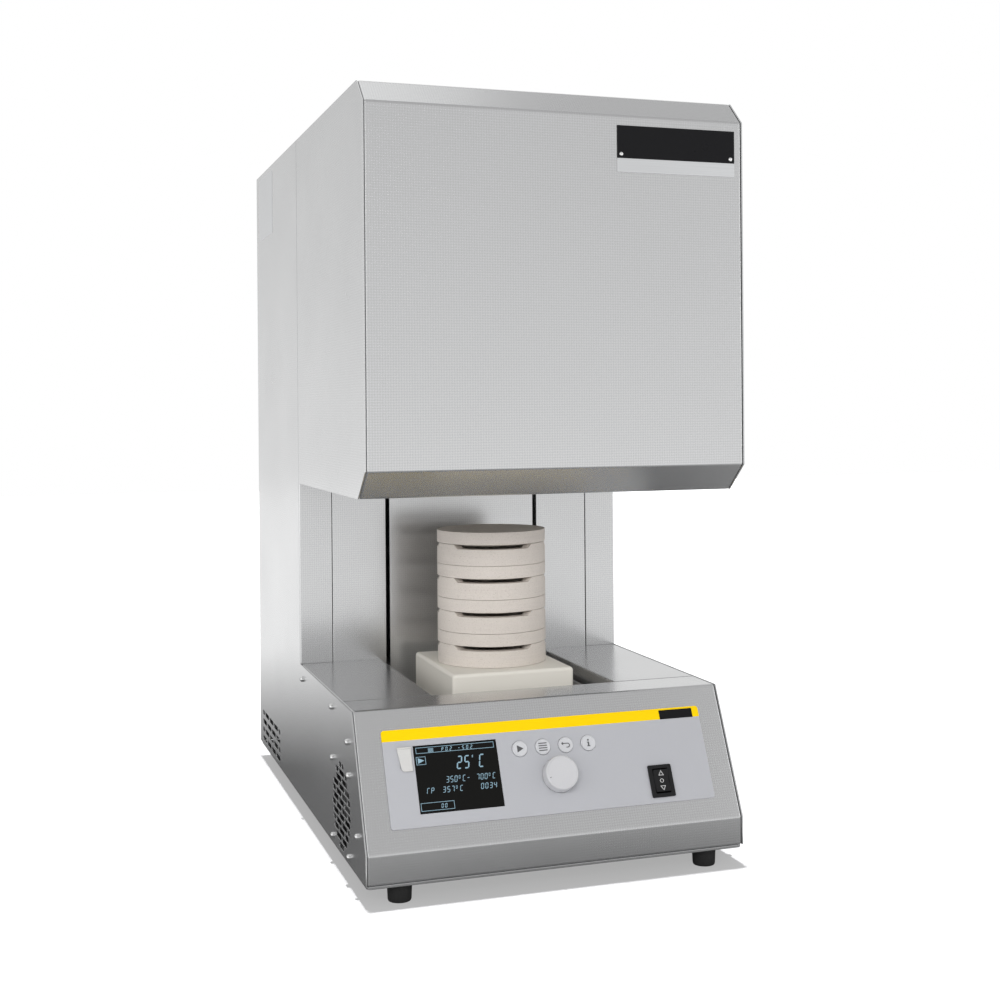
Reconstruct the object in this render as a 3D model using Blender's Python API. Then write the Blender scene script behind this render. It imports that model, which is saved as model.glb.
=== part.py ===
"""Lift-bottom furnace: a bench furnace whose ceramic floor plug rides down on a spindle lift to be loaded.

Metres, +Z up, +Y to the rear. The origin is on the bench, under the middle of the furnace.
"""

import math

import bmesh
import bpy
from mathutils import Matrix

# Whole furnace
OVERALL_WIDTH = 0.350
OVERALL_DEPTH = 0.590
OVERALL_HEIGHT = 0.695

# Gaps between pieces
SEAT_GAP = 0.0003
SEAM_GAP = 0.0006
CUT_OVERRUN = 0.005

# Sheet metal of the housing
SHEET = 0.0012
BEND_RADIUS = 0.0022
EDGE_RADIUS = 0.0018
FOLD_DEPTH = 0.010
RETURN_DEPTH = 0.015

# Base
FOOT_HEIGHT = 0.0155
FOOT_RADIUS = 0.011
FOOT_SIDE_INSET = 0.0325
FRONT_FOOT_INSET = 0.024
REAR_FOOT_INSET = 0.030
BASE_PLATE = 0.0027
BASE_CORNER_RADIUS = 0.004
LIP_SETBACK = 0.0088
LIP_HEIGHT = 0.0256
SLOPE_RUN = 0.0546
SLOPE_RISE = 0.1107
STRIP_DEPTH = 0.0454
WELL_WIDTH = 0.179

# Column
COLUMN_DEPTH_SHARE = 0.4661
COLUMN_FLANGE = 0.034
COLUMN_FLANGE_DROP = 0.012
REAR_RECESS = 0.0025

# Head
HEAD_HEIGHT = 0.354
TOP_CHAMFER_DEPTH = 0.0231
TOP_CHAMFER_HEIGHT = 0.0213
LOW_CHAMFER_DEPTH = 0.0293
LOW_CHAMFER_HEIGHT = 0.0242
EXHAUST_RADIUS = 0.008

# Plug and lift table
PLUG_WIDTH = 0.122
PLUG_END_GAP = 0.0316
PLUG_MARGIN = 0.007
PLUG_HEIGHT = 0.0513
PLUG_ABOVE_DECK = 0.0108
PLUG_EDGE_RADIUS = 0.0035
TABLE_SHEET = 0.003
TABLE_CLEARANCE = 0.012
TABLE_MARGIN = 0.005
ARM_SPACING = 0.1634
ARM_HEIGHT = 0.030
SLOT_CLEARANCE = 0.00075
SLOT_END_CLEARANCE = 0.009

# Saggers: low round pots with three slits in the rim, each under its own lid
SAGGER_COUNT = 4
SAGGER_HEIGHT = 0.0201
SAGGER_WALL = 0.010
SAGGER_FLOOR = 0.004
SAGGER_EDGE = 0.0008
SLIT_HEIGHT = 0.0050
SLITS_PER_SAGGER = 3
SLIT_FLOOR_ANGLE = math.radians(80.0)
SLIT_RIM_ANGLE = math.radians(90.0)
SLIT_TURN = math.radians(255.0)
LID_THICKNESS = 0.0121
LID_SPIGOT = 0.002

# Chamber
PLUG_ENTRY = 0.020
SEAL_GAP = 0.0005
PLUG_OPENING_GAP = 0.003
MOUTH_CLEARANCE = 0.0045
MOUTH_LIP = 0.012
CAVITY_WIDENING = 0.0135
CHAMBER_HEADROOM = 0.010
INSULATION_WALL_X = 0.048
INSULATION_WALL_FRONT = 0.048
ROOF_THICKNESS = 0.070
CASING_SHEET = 0.001
CASING_RISE = 0.015

# Heating elements and thermocouple
ELEMENT_COUNT = 4
ELEMENT_WALL_GAP = 0.0045
ELEMENT_LEG_SPACING = 0.036
ELEMENT_HOT_RADIUS = 0.0025
ELEMENT_COLD_RADIUS = 0.0045
ELEMENT_ABOVE_ROOF = 0.030
ELEMENT_ABOVE_LIP = 0.012
THERMOCOUPLE_RADIUS = 0.003
THERMOCOUPLE_DEPTH = 0.060
THERMOCOUPLE_HEAD_RADIUS = 0.008
THERMOCOUPLE_HEAD_HEIGHT = 0.014

# Lift drive in the column
SCREW_SETBACK = 0.050
SCREW_RADIUS = 0.007
SCREW_COLLAR_RADIUS = 0.011
SCREW_COLLAR_HEIGHT = 0.006
ROD_SPACING = 0.120
ROD_RADIUS = 0.006
CARRIAGE_DEPTH = 0.040
CARRIAGE_HEIGHT = 0.034
NUT_RADIUS = 0.014
NUT_HEIGHT = 0.012
BEARING_PLATE_WIDTH = 0.164
BEARING_PLATE_THICKNESS = 0.008
BEARING_CORNER_RADIUS = 0.006
MOTOR_RADIUS = 0.026
MOTOR_HEIGHT = 0.056
MOTOR_BOSS_RADIUS = 0.012
MOTOR_BOSS_HEIGHT = 0.004

# Fan behind the round grille, and the grilles
FAN_SIZE = 0.080
FAN_THICKNESS = 0.025
FAN_BORE_RADIUS = 0.038
FAN_SETBACK = 0.1083
FAN_ABOVE_BASE = 0.003
FAN_CORNER_RADIUS = 0.005
FAN_HUB_RADIUS = 0.015
FAN_HUB_PLATE = 0.003
FAN_STRUT_WIDTH = 0.004
FAN_TIP_GAP = 0.001
FAN_BLADES = 7
FAN_BLADE_THICKNESS = 0.0014
FAN_BLADE_ANGLE = math.radians(38.0)
FAN_TWIST_SHARE = 0.35
FAN_BLADE_STATIONS = 4
GRILLE_SLOT = 0.024
GRILLE_SLOT_HEIGHT = 0.005
GRILLE_WEB = 0.0022
SHORTEST_SLOT_SHARE = 1.2
REAR_GRILLE_SLOT = 0.0275
REAR_GRILLE_SLOT_HEIGHT = 0.0055
REAR_GRILLE_WEB = 0.0045
REAR_GRILLE_LENGTH = 0.125
REAR_GRILLE_ROWS = 4
REAR_GRILLE_FROM_REAR = 0.082
REAR_GRILLE_Z = 0.0415
VENT_SLOT = 0.034
VENT_SLOT_HEIGHT = 0.005
VENT_WEB = 0.008
VENT_FIELD_WIDTH = 0.170
VENT_ROWS = 3
VENT_BELOW_TOP = 0.080
TOP_VENT_FROM_REAR = 0.090

# Console: places are measured on the slope, right of the middle and up from the lip's fold
OVERLAY_WIDTH = 0.302
OVERLAY_HEIGHT = 0.085
OVERLAY_UP = 0.0615
OVERLAY_THICKNESS = 0.0006
OVERLAY_RADIUS = 0.0025
DISPLAY_WIDTH = 0.0752
DISPLAY_HEIGHT = 0.0582
DISPLAY_RIGHT = -0.0864
DISPLAY_UP = 0.0593
DISPLAY_DEPTH = 0.011
DISPLAY_FLANGE = 0.0025
DISPLAY_FLANGE_THICKNESS = 0.002
USB_RIGHT = -0.1328
USB_UP = 0.0775
USB_WIDTH = 0.0078
USB_HEIGHT = 0.0150
USB_WALL = 0.001
USB_FLANGE = 0.0015
FLAP_WIDTH = 0.0125
FLAP_LENGTH = 0.0215
FLAP_THICKNESS = 0.0022
FLAP_KNUCKLE_RADIUS = 0.0013
FLAP_END_RADIUS = 0.004
BUTTON_COUNT = 4
BUTTON_PITCH = 0.0217
BUTTON_UP = 0.0782
BUTTON_RADIUS = 0.0070
BUTTON_PROUD = 0.0011
BUTTON_TRAVEL = 0.0008
BUTTON_FLANGE = 0.0018
BUTTON_FLANGE_THICKNESS = 0.001
BUTTON_STEM_RADIUS = 0.0025
CONTROL_RIGHT = 0.00485
DIAL_UP = 0.0520
DIAL_RADIUS = 0.0155
DIAL_HEIGHT = 0.0102
DIAL_TRAVEL = 0.0008
DIAL_SHAFT_RADIUS = 0.003
DIAL_SHAFT_FLAT = 0.001
DIAL_EDGE = 0.0012
DIAL_DISH = 0.0005
ENCODER_SIZE = 0.016
ENCODER_WALL = 0.003
ENCODER_CAVITY_RADIUS = 0.0063
ROTOR_THICKNESS = 0.003
ROTOR_NOTCHES = 12
ROTOR_NOTCH_DEPTH = 0.0006
BOARD_WIDTH = 0.205
BOARD_HEIGHT = 0.078
BOARD_RIGHT = -0.0300
BOARD_UP = 0.0600
BOARD_THICKNESS = 0.0016
ROCKER_RIGHT = 0.1011
ROCKER_UP = 0.0382
ROCKER_WIDTH = 0.0227
ROCKER_HEIGHT = 0.0290
ROCKER_PROUD = 0.0018
ROCKER_RIM = 0.0014
ROCKER_BODY_DEPTH = 0.016

# Rocker paddles, shared by the lift switch and the mains switch
PADDLE_WIDTH = 0.0142
PADDLE_LENGTH = 0.020
PADDLE_RISE = 0.0055
PADDLE_CENTRE_RISE = 0.0040
PADDLE_BELLY = 0.0035
PADDLE_TILT = math.radians(8.0)
PADDLE_PIN_RADIUS = 0.0015
PADDLE_PIN_LENGTH = 0.0012

# Power inlet on the rear panel
INLET_FROM_SIDE = 0.090
INLET_Z = 0.078
INLET_PLATE_WIDTH = 0.048
INLET_PLATE_HEIGHT = 0.060
INLET_PLATE_THICKNESS = 0.0022
INLET_SOCKET_WIDTH = 0.0248
INLET_SOCKET_HEIGHT = 0.0170
INLET_SOCKET_DEPTH = 0.015
INLET_SOCKET_CHAMFER = 0.004
INLET_SOCKET_DOWN = 0.014
INLET_SWITCH_UP = 0.014
INLET_BODY_INSET = 0.003
INLET_BODY_DEPTH = 0.020

# Transformer
CORE_WIDTH = 0.090
CORE_DEPTH = 0.034
CORE_HEIGHT = 0.076
COIL_OVERHANG = 0.018
COIL_WIDTH_SHARE = 0.56
COIL_HEIGHT_SHARE = 0.60
TRANSFORMER_FROM_SIDE = 0.075

# Facets of round shapes
ROUND_STEPS = 32
SMALL_ROUND_STEPS = 16
TINY_ROUND_STEPS = 10
SAGGER_STEPS = 48
CORNER_STEPS = 2

# Places worked out from the sizes above
HALF_WIDTH = OVERALL_WIDTH / 2
FRONT_Y = -OVERALL_DEPTH / 2
REAR_Y = OVERALL_DEPTH / 2
PANEL_INSIDE_X = HALF_WIDTH - SHEET
INSET_HALF_WIDTH = PANEL_INSIDE_X - SEAM_GAP
BASE_TOP_Z = FOOT_HEIGHT + BASE_PLATE
PANEL_BOTTOM_Z = BASE_TOP_Z + SEAT_GAP
LIP_Y = FRONT_Y + LIP_SETBACK
FOLD_Z = PANEL_BOTTOM_Z + LIP_HEIGHT
DECK_Z = FOLD_Z + SLOPE_RISE
STRIP_FRONT_Y = LIP_Y + SLOPE_RUN
STRIP_REAR_Y = STRIP_FRONT_Y + STRIP_DEPTH
COLUMN_FRONT_Y = REAR_Y - OVERALL_DEPTH * COLUMN_DEPTH_SHARE
REAR_PANEL_Y = REAR_Y - REAR_RECESS
HEAD_BOTTOM_Z = OVERALL_HEIGHT - HEAD_HEIGHT
LIFT_Y = (STRIP_REAR_Y + COLUMN_FRONT_Y) / 2
PLUG_LENGTH = COLUMN_FRONT_Y - STRIP_REAR_Y - 2 * PLUG_END_GAP
SAGGER_RADIUS = min(PLUG_WIDTH, PLUG_LENGTH) / 2 - PLUG_MARGIN
PLUG_TOP_Z = DECK_Z + PLUG_ABOVE_DECK
PLUG_BOTTOM_Z = PLUG_TOP_Z - PLUG_HEIGHT
TABLE_Z = PLUG_BOTTOM_Z - SEAT_GAP - TABLE_SHEET
WELL_FLOOR_Z = TABLE_Z - TABLE_CLEARANCE
SAGGER_PITCH = SAGGER_HEIGHT + LID_THICKNESS + 2 * SEAT_GAP
STACK_HEIGHT = SAGGER_COUNT * SAGGER_PITCH
MOUTH_Z = HEAD_BOTTOM_Z + PLUG_ENTRY
MOUTH_RADIUS = SAGGER_RADIUS + MOUTH_CLEARANCE
CAVITY_RADIUS = MOUTH_RADIUS + CAVITY_WIDENING
CAVITY_TOP_Z = MOUTH_Z + STACK_HEIGHT + CHAMBER_HEADROOM
ROOF_TOP_Z = CAVITY_TOP_Z + SEAT_GAP + ROOF_THICKNESS
FLOOR_TOP_Z = HEAD_BOTTOM_Z + SHEET + SEAT_GAP
INSULATION_HALF_X = CAVITY_RADIUS + INSULATION_WALL_X
INSULATION_FRONT_Y = LIFT_Y - CAVITY_RADIUS - INSULATION_WALL_FRONT
INSULATION_REAR_Y = COLUMN_FRONT_Y - SEAM_GAP - CASING_SHEET - SEAT_GAP
ELEMENT_CIRCLE = math.sqrt((CAVITY_RADIUS - ELEMENT_WALL_GAP) ** 2 - (ELEMENT_LEG_SPACING / 2) ** 2)
SCREW_Y = COLUMN_FRONT_Y + SCREW_SETBACK
MOTOR_TOP_Z = PANEL_BOTTOM_Z + MOTOR_HEIGHT
LOWER_PLATE_Z = MOTOR_TOP_Z + SEAT_GAP
BEARING_PLATE_DEPTH = 2 * (SCREW_SETBACK - SHEET - SEAT_GAP)
INLET_RIGHT = HALF_WIDTH - INLET_FROM_SIDE
TRANSFORMER_RIGHT = HALF_WIDTH - TRANSFORMER_FROM_SIDE
TRANSFORMER_Y = (SCREW_Y + BEARING_PLATE_DEPTH / 2 + REAR_PANEL_Y - INLET_BODY_DEPTH) / 2
LIFT_TRAVEL = MOUTH_Z - SEAL_GAP - PLUG_TOP_Z
ARM_TOP_Z = TABLE_Z + ARM_HEIGHT
SLOT_TOP_Z = ARM_TOP_Z + LIFT_TRAVEL + SLOT_END_CLEARANCE
UPPER_PLATE_Z = TABLE_Z + CARRIAGE_HEIGHT + NUT_HEIGHT + LIFT_TRAVEL + SLOT_END_CLEARANCE
COLUMN_PANEL_TOP_Z = UPPER_PLATE_Z + BEARING_PLATE_THICKNESS + SEAM_GAP
SLOPE_LENGTH = math.hypot(SLOPE_RUN, SLOPE_RISE)
SLOPE_ANGLE = math.atan2(SLOPE_RISE, SLOPE_RUN)
OVERLAY_FACE = SEAT_GAP + OVERLAY_THICKNESS
BEHIND_CONSOLE = -SHEET - SEAT_GAP
BOARD_FACE = BEHIND_CONSOLE - DISPLAY_FLANGE_THICKNESS - DISPLAY_DEPTH - SEAT_GAP
FAN_Y = FRONT_Y + FAN_SETBACK
FAN_Z = BASE_TOP_Z + FAN_ABOVE_BASE + FAN_SIZE / 2
BUTTON_NAMES = ("button_start", "button_menu", "button_back", "button_info")


def material(name, color, roughness, metallic=0.0):
    """A Principled material of one colour (linear red, green, blue)."""
    made = bpy.data.materials.new(name)
    made.use_nodes = True
    shader = made.node_tree.nodes["Principled BSDF"]
    shader.inputs["Base Color"].default_value = (*color, 1.0)
    shader.inputs["Roughness"].default_value = roughness
    shader.inputs["Metallic"].default_value = metallic
    made.diffuse_color = (*color, 1.0)
    return made


def build_materials():
    """The finishes of the furnace, by name."""
    return {
        "textured_steel": material("textured_steel", (0.60, 0.60, 0.61), 0.38, 1.0),
        "inner_steel": material("inner_steel", (0.42, 0.42, 0.43), 0.45, 1.0),
        "machined_steel": material("machined_steel", (0.55, 0.55, 0.56), 0.25, 1.0),
        "plug_ceramic": material("plug_ceramic", (0.80, 0.77, 0.70), 0.80),
        "sagger_ceramic": material("sagger_ceramic", (0.78, 0.73, 0.65), 0.85),
        "fibre_insulation": material("fibre_insulation", (0.86, 0.85, 0.80), 0.95),
        "element_ceramic": material("element_ceramic", (0.10, 0.09, 0.09), 0.50),
        "overlay_foil": material("overlay_foil", (0.56, 0.58, 0.60), 0.50),
        "display_glass": material("display_glass", (0.01, 0.012, 0.015), 0.12),
        "button_plastic": material("button_plastic", (0.70, 0.72, 0.73), 0.45),
        "dial_plastic": material("dial_plastic", (0.62, 0.63, 0.64), 0.35),
        "flap_plastic": material("flap_plastic", (0.66, 0.64, 0.58), 0.50),
        "black_plastic": material("black_plastic", (0.02, 0.02, 0.02), 0.40),
        "circuit_board": material("circuit_board", (0.02, 0.14, 0.06), 0.55),
        "foot_rubber": material("foot_rubber", (0.015, 0.015, 0.015), 0.75),
    }


def make_object(name, bm, finish, place=(0.0, 0.0, 0.0), parent=None):
    """Turns a bmesh into the named object at its place, with its faces pointing out."""
    bmesh.ops.recalc_face_normals(bm, faces=bm.faces[:])
    mesh = bpy.data.meshes.new(name)
    bm.to_mesh(mesh)
    bm.free()
    mesh.materials.append(finish)
    made = bpy.data.objects.new(name, mesh)
    bpy.context.scene.collection.objects.link(made)
    made.location = place
    made.parent = parent
    return made


def smooth(made, angle=math.radians(35.0)):
    """Shades the round faces of an object smooth."""
    made.data.shade_smooth()
    made.data.set_sharp_from_angle(angle=angle)
    return made


def make_guide(name, bm, place=(0.0, 0.0, 0.0), parent=None):
    """A hidden shape that only cuts or joins another."""
    made = make_object(name, bm, bpy.data.materials["inner_steel"], place, parent)
    made.hide_render = True
    made.display_type = "WIRE"
    return made


def combine(target, guide, operation):
    """Puts an exact Boolean on the target."""
    step = target.modifiers.new(guide.name, "BOOLEAN")
    step.operation = operation
    step.solver = "EXACT"
    step.object = guide
    return target


def make_empty(name, place, rotation=(0.0, 0.0, 0.0), parent=None):
    """An empty that carries pieces in its own axes."""
    made = bpy.data.objects.new(name, None)
    bpy.context.scene.collection.objects.link(made)
    made.location = place
    made.rotation_euler = rotation
    made.parent = parent
    return made


def add_prism(bm, outline, low, high, axis="Z"):
    """Adds a closed prism of a flat outline, from low to high along an axis.

    The outline's two numbers run along Y and Z for axis X, X and Z for Y, and X and Y for Z.
    """
    order = {
        "X": lambda a, b, h: (h, a, b),
        "Y": lambda a, b, h: (a, h, b),
        "Z": lambda a, b, h: (a, b, h),
    }[axis]
    ring = [bm.verts.new(order(a, b, low)) for a, b in outline]
    face = bm.faces.new(ring)
    grown = bmesh.ops.extrude_face_region(bm, geom=[face])
    shift = order(0.0, 0.0, high - low)
    moved = [item for item in grown["geom"] if isinstance(item, bmesh.types.BMVert)]
    bmesh.ops.translate(bm, vec=shift, verts=moved)
    return ring + moved


def prism(outline, low, high, axis="Z"):
    """A bmesh with one prism in it."""
    bm = bmesh.new()
    add_prism(bm, outline, low, high, axis)
    return bm


def add_box(bm, low, high):
    """Adds a box between two corners."""
    outline = [(low[0], low[1]), (high[0], low[1]), (high[0], high[1]), (low[0], high[1])]
    return add_prism(bm, outline, low[2], high[2])


def box(low, high):
    """A bmesh with one box in it."""
    bm = bmesh.new()
    add_box(bm, low, high)
    return bm


def circle(radius, steps=ROUND_STEPS, centre=(0.0, 0.0)):
    """Points round a circle."""
    return [
        (
            centre[0] + radius * math.cos(2 * math.pi * i / steps),
            centre[1] + radius * math.sin(2 * math.pi * i / steps),
        )
        for i in range(steps)
    ]


def rounded_rectangle(width, height, radius, centre=(0.0, 0.0), steps=CORNER_STEPS):
    """A rectangle's outline with round corners."""
    points = []
    for sign_a, sign_b, start in ((1, 1, 0.0), (-1, 1, 0.5), (-1, -1, 1.0), (1, -1, 1.5)):
        corner_a = centre[0] + sign_a * (width / 2 - radius)
        corner_b = centre[1] + sign_b * (height / 2 - radius)
        for i in range(steps + 1):
            angle = math.pi * (start + i / steps / 2)
            points.append((corner_a + radius * math.cos(angle), corner_b + radius * math.sin(angle)))
    return points


def rectangle(width, height, centre=(0.0, 0.0)):
    """A rectangle's outline."""
    half_a, half_b = width / 2, height / 2
    return [
        (centre[0] + half_a, centre[1] + half_b),
        (centre[0] - half_a, centre[1] + half_b),
        (centre[0] - half_a, centre[1] - half_b),
        (centre[0] + half_a, centre[1] - half_b),
    ]


def turned(profile, steps=ROUND_STEPS, axis="Z"):
    """A solid turned from a profile of (radius, height) points that starts and ends on the axis."""
    bm = bmesh.new()
    rings = []
    for radius, height in profile:
        if radius == 0:
            rings.append([bm.verts.new((0.0, 0.0, height))])
        else:
            rings.append([bm.verts.new((a, b, height)) for a, b in circle(radius, steps)])
    for lower, upper in zip(rings, rings[1:]):
        for i in range(steps):
            j = (i + 1) % steps
            below = [lower[i % len(lower)], lower[j % len(lower)]]
            above = [upper[j % len(upper)], upper[i % len(upper)]]
            kept = list(dict.fromkeys(below + above))
            if len(kept) > 2:
                bm.faces.new(kept)
    turn = {"X": Matrix.Rotation(math.pi / 2, 4, "Y"), "Z": Matrix.Identity(4)}[axis]
    bm.transform(turn)
    return bm


def offset_line(points, distance):
    """Moves an open line of points to its left, with mitred corners."""
    moved = []
    for i, (a, b) in enumerate(points):
        normals = []
        for j in (i - 1, i):
            if 0 <= j < len(points) - 1:
                run = points[j + 1][0] - points[j][0]
                rise = points[j + 1][1] - points[j][1]
                length = math.hypot(run, rise)
                normals.append((-rise / length, run / length))
        na = sum(n[0] for n in normals)
        nb = sum(n[1] for n in normals)
        reach = distance * len(normals) / (na * na + nb * nb)
        moved.append((a + na * reach, b + nb * reach))
    return moved


def rounded_line(points, radius, steps=CORNER_STEPS):
    """An open line with its corners rounded by arcs."""
    made = [points[0]]
    for before, corner, after in zip(points, points[1:], points[2:]):
        to_before = (before[0] - corner[0], before[1] - corner[1])
        to_after = (after[0] - corner[0], after[1] - corner[1])
        length_before, length_after = math.hypot(*to_before), math.hypot(*to_after)
        unit_before = (to_before[0] / length_before, to_before[1] / length_before)
        unit_after = (to_after[0] / length_after, to_after[1] / length_after)
        between = math.acos(unit_before[0] * unit_after[0] + unit_before[1] * unit_after[1])
        cut = min(radius / math.tan(between / 2), length_before / 2, length_after / 2)
        arc_radius = cut * math.tan(between / 2)
        middle = (unit_before[0] + unit_after[0], unit_before[1] + unit_after[1])
        scale = math.hypot(arc_radius, cut) / math.hypot(*middle)
        centre = (corner[0] + middle[0] * scale, corner[1] + middle[1] * scale)
        angles = []
        for unit in (unit_before, unit_after):
            rise = corner[1] + unit[1] * cut - centre[1]
            run = corner[0] + unit[0] * cut - centre[0]
            angles.append(math.atan2(rise, run))
        start, end = angles
        sweep = (end - start + math.pi) % (2 * math.pi) - math.pi
        for i in range(steps + 1):
            angle = start + sweep * i / steps
            made.append((centre[0] + arc_radius * math.cos(angle), centre[1] + arc_radius * math.sin(angle)))
    made.append(points[-1])
    return made


def lengthened(points, extra):
    """An open line whose two ends run on by an extra length."""
    (a0, b0), (a1, b1) = points[0], points[1]
    (a3, b3), (a2, b2) = points[-1], points[-2]
    first, last = math.hypot(a1 - a0, b1 - b0), math.hypot(a3 - a2, b3 - b2)
    start = (a0 + (a0 - a1) * extra / first, b0 + (b0 - b1) * extra / first)
    end = (a3 + (a3 - a2) * extra / last, b3 + (b3 - b2) * extra / last)
    return [start, *points[1:-1], end]


def folded_block(line, half_width):
    """The outer shape of a bent sheet: its profile shrinks at both sides, so that the edges are round."""
    bm = bmesh.new()
    back = offset_line(line, FOLD_DEPTH)[::-1]
    rings = []
    for k in range(CORNER_STEPS + 1):
        angle = math.pi / 2 * k / CORNER_STEPS
        inset = EDGE_RADIUS * (1 - math.sin(angle))
        outline = rounded_line(offset_line(line, inset), BEND_RADIUS - inset) + back
        rings.append((half_width - EDGE_RADIUS * (1 - math.cos(angle)), outline))
    sections = [(-x, outline) for x, outline in rings] + rings[::-1]
    before = None
    for x, outline in sections:
        ring = [bm.verts.new((x, y, z)) for y, z in outline]
        if before:
            for i, vert in enumerate(ring):
                j = (i + 1) % len(ring)
                bm.faces.new((before[i], before[j], ring[j], vert))
        else:
            bm.faces.new(ring)
        before = ring
    bm.faces.new(before)
    return bm


def folded_panel(name, line, finish, half_width=INSET_HALF_WIDTH):
    """A sheet bent along a line of (y, z) points, seen from its outside, with its side edges folded back.

    The inside of the housing is on the line's left.
    """
    panel = make_object(name, folded_block(line, half_width), finish)
    run_on = lengthened(line, CUT_OVERRUN)
    inside = rounded_line(offset_line(run_on, SHEET), BEND_RADIUS - SHEET)
    deep = offset_line(run_on, FOLD_DEPTH + CUT_OVERRUN)
    hollow = prism(inside + deep[::-1], SHEET - half_width, half_width - SHEET, "X")
    combine(panel, make_guide(name + "_hollow", hollow), "DIFFERENCE")
    return panel


def slot_outline(centre, length, height):
    """A slot with round ends, as points of a flat outline."""
    return rounded_rectangle(length, height, height / 2 * (1 - SEAT_GAP), centre, steps=1)


def slot_field(centre, width, rows, slot, height, web, row_web):
    """Outlines of slots in rows, every other row shifted by half a pitch and cut off at the field's ends."""
    pitch = slot + web
    low, high = centre[0] - width / 2, centre[0] + width / 2
    outlines = []
    for row in range(rows):
        b = centre[1] + (row - (rows - 1) / 2) * (height + row_web)
        start = low - (row % 2) * pitch / 2
        while start < high:
            left, right = max(start, low), min(start + slot, high)
            if right - left > 2 * height:
                outlines.append(slot_outline(((left + right) / 2, b), right - left, height))
            start += pitch
    return outlines


def round_slot_field(centre, radius, slot, height, web):
    """Outlines of staggered slots that fill a circle."""
    row_pitch = height + web
    rows = int(2 * radius / row_pitch)
    outlines = []
    for row in range(rows):
        b = (row - (rows - 1) / 2) * row_pitch
        half_chord = math.sqrt(max(radius**2 - (abs(b) + height / 2) ** 2, 0.0))
        pitch = slot + web
        columns = math.ceil(radius / pitch)
        start = (row % 2 - 1) * pitch / 2 - columns * pitch
        while start < half_chord:
            left, right = max(start, -half_chord), min(start + slot, half_chord)
            if right - left > height * SHORTEST_SLOT_SHARE:
                middle = (centre[0] + (left + right) / 2, centre[1] + b)
                outlines.append(slot_outline(middle, right - left, height))
            start += pitch
    return outlines


def base_plate(finishes):
    """The flat plate that carries everything, on the four feet."""
    front = LIP_Y + SHEET - SEAT_GAP
    rear = REAR_PANEL_Y - SEAT_GAP
    outline = rounded_rectangle(
        2 * PANEL_INSIDE_X, rear - front, BASE_CORNER_RADIUS, (0.0, (front + rear) / 2)
    )
    make_object("base_plate", prism(outline, FOOT_HEIGHT, BASE_TOP_Z), finishes["textured_steel"])


def feet(finishes):
    """Four rubber feet, each a little narrower at the bench."""
    top = FOOT_HEIGHT - SEAT_GAP
    chamfer = FOOT_RADIUS / 10
    sole = FOOT_RADIUS - 2 * chamfer
    profile = [(0.0, 0.0), (sole, 0.0), (sole + chamfer, chamfer), (FOOT_RADIUS, top), (0.0, top)]
    places = {
        "foot_front_left": (-1, FRONT_Y + FRONT_FOOT_INSET),
        "foot_front_right": (1, FRONT_Y + FRONT_FOOT_INSET),
        "foot_rear_left": (-1, REAR_Y - REAR_FOOT_INSET),
        "foot_rear_right": (1, REAR_Y - REAR_FOOT_INSET),
    }
    for name, (side, y) in places.items():
        place = (side * (HALF_WIDTH - FOOT_SIDE_INSET), y, 0.0)
        smooth(make_object(name, turned(profile, SMALL_ROUND_STEPS), finishes["foot_rubber"], place))


def side_panel(name, side, finishes):
    """One L-shaped sheet: the side of the base and of the column, with the column's front flange."""
    outline = [
        (REAR_Y, PANEL_BOTTOM_Z),
        (LIP_Y, PANEL_BOTTOM_Z),
        (LIP_Y, FOLD_Z),
        (STRIP_FRONT_Y, DECK_Z),
        (COLUMN_FRONT_Y, DECK_Z),
        (COLUMN_FRONT_Y, OVERALL_HEIGHT),
        (REAR_Y, OVERALL_HEIGHT),
    ]
    panel = make_object(
        name, prism(outline, side * PANEL_INSIDE_X, side * HALF_WIDTH, "X"), finishes["textured_steel"]
    )
    flange_outline = [
        (side * (HALF_WIDTH - SHEET / 2), COLUMN_FRONT_Y),
        (side * (HALF_WIDTH - COLUMN_FLANGE), COLUMN_FRONT_Y),
        (side * (HALF_WIDTH - COLUMN_FLANGE), COLUMN_FRONT_Y + SHEET),
        (side * (HALF_WIDTH - SHEET / 2), COLUMN_FRONT_Y + SHEET),
    ]
    flange = prism(
        flange_outline, DECK_Z - COLUMN_FLANGE_DROP, OVERALL_HEIGHT - FOLD_DEPTH - COLUMN_FLANGE_DROP, "Z"
    )
    combine(panel, make_guide(name + "_flange", flange), "UNION")
    slots = slot_field(
        (REAR_Y - REAR_GRILLE_FROM_REAR, REAR_GRILLE_Z),
        REAR_GRILLE_LENGTH,
        REAR_GRILLE_ROWS,
        REAR_GRILLE_SLOT,
        REAR_GRILLE_SLOT_HEIGHT,
        REAR_GRILLE_WEB,
        REAR_GRILLE_WEB,
    )
    if side < 0:
        slots += round_slot_field(
            (FAN_Y, FAN_Z), FAN_BORE_RADIUS, GRILLE_SLOT, GRILLE_SLOT_HEIGHT, GRILLE_WEB
        )
    cutter = bmesh.new()
    for slot in slots:
        add_prism(cutter, slot, side * (PANEL_INSIDE_X - CUT_OVERRUN), side * (HALF_WIDTH + CUT_OVERRUN), "X")
    combine(panel, make_guide(name + "_slots", cutter), "DIFFERENCE")


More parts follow.
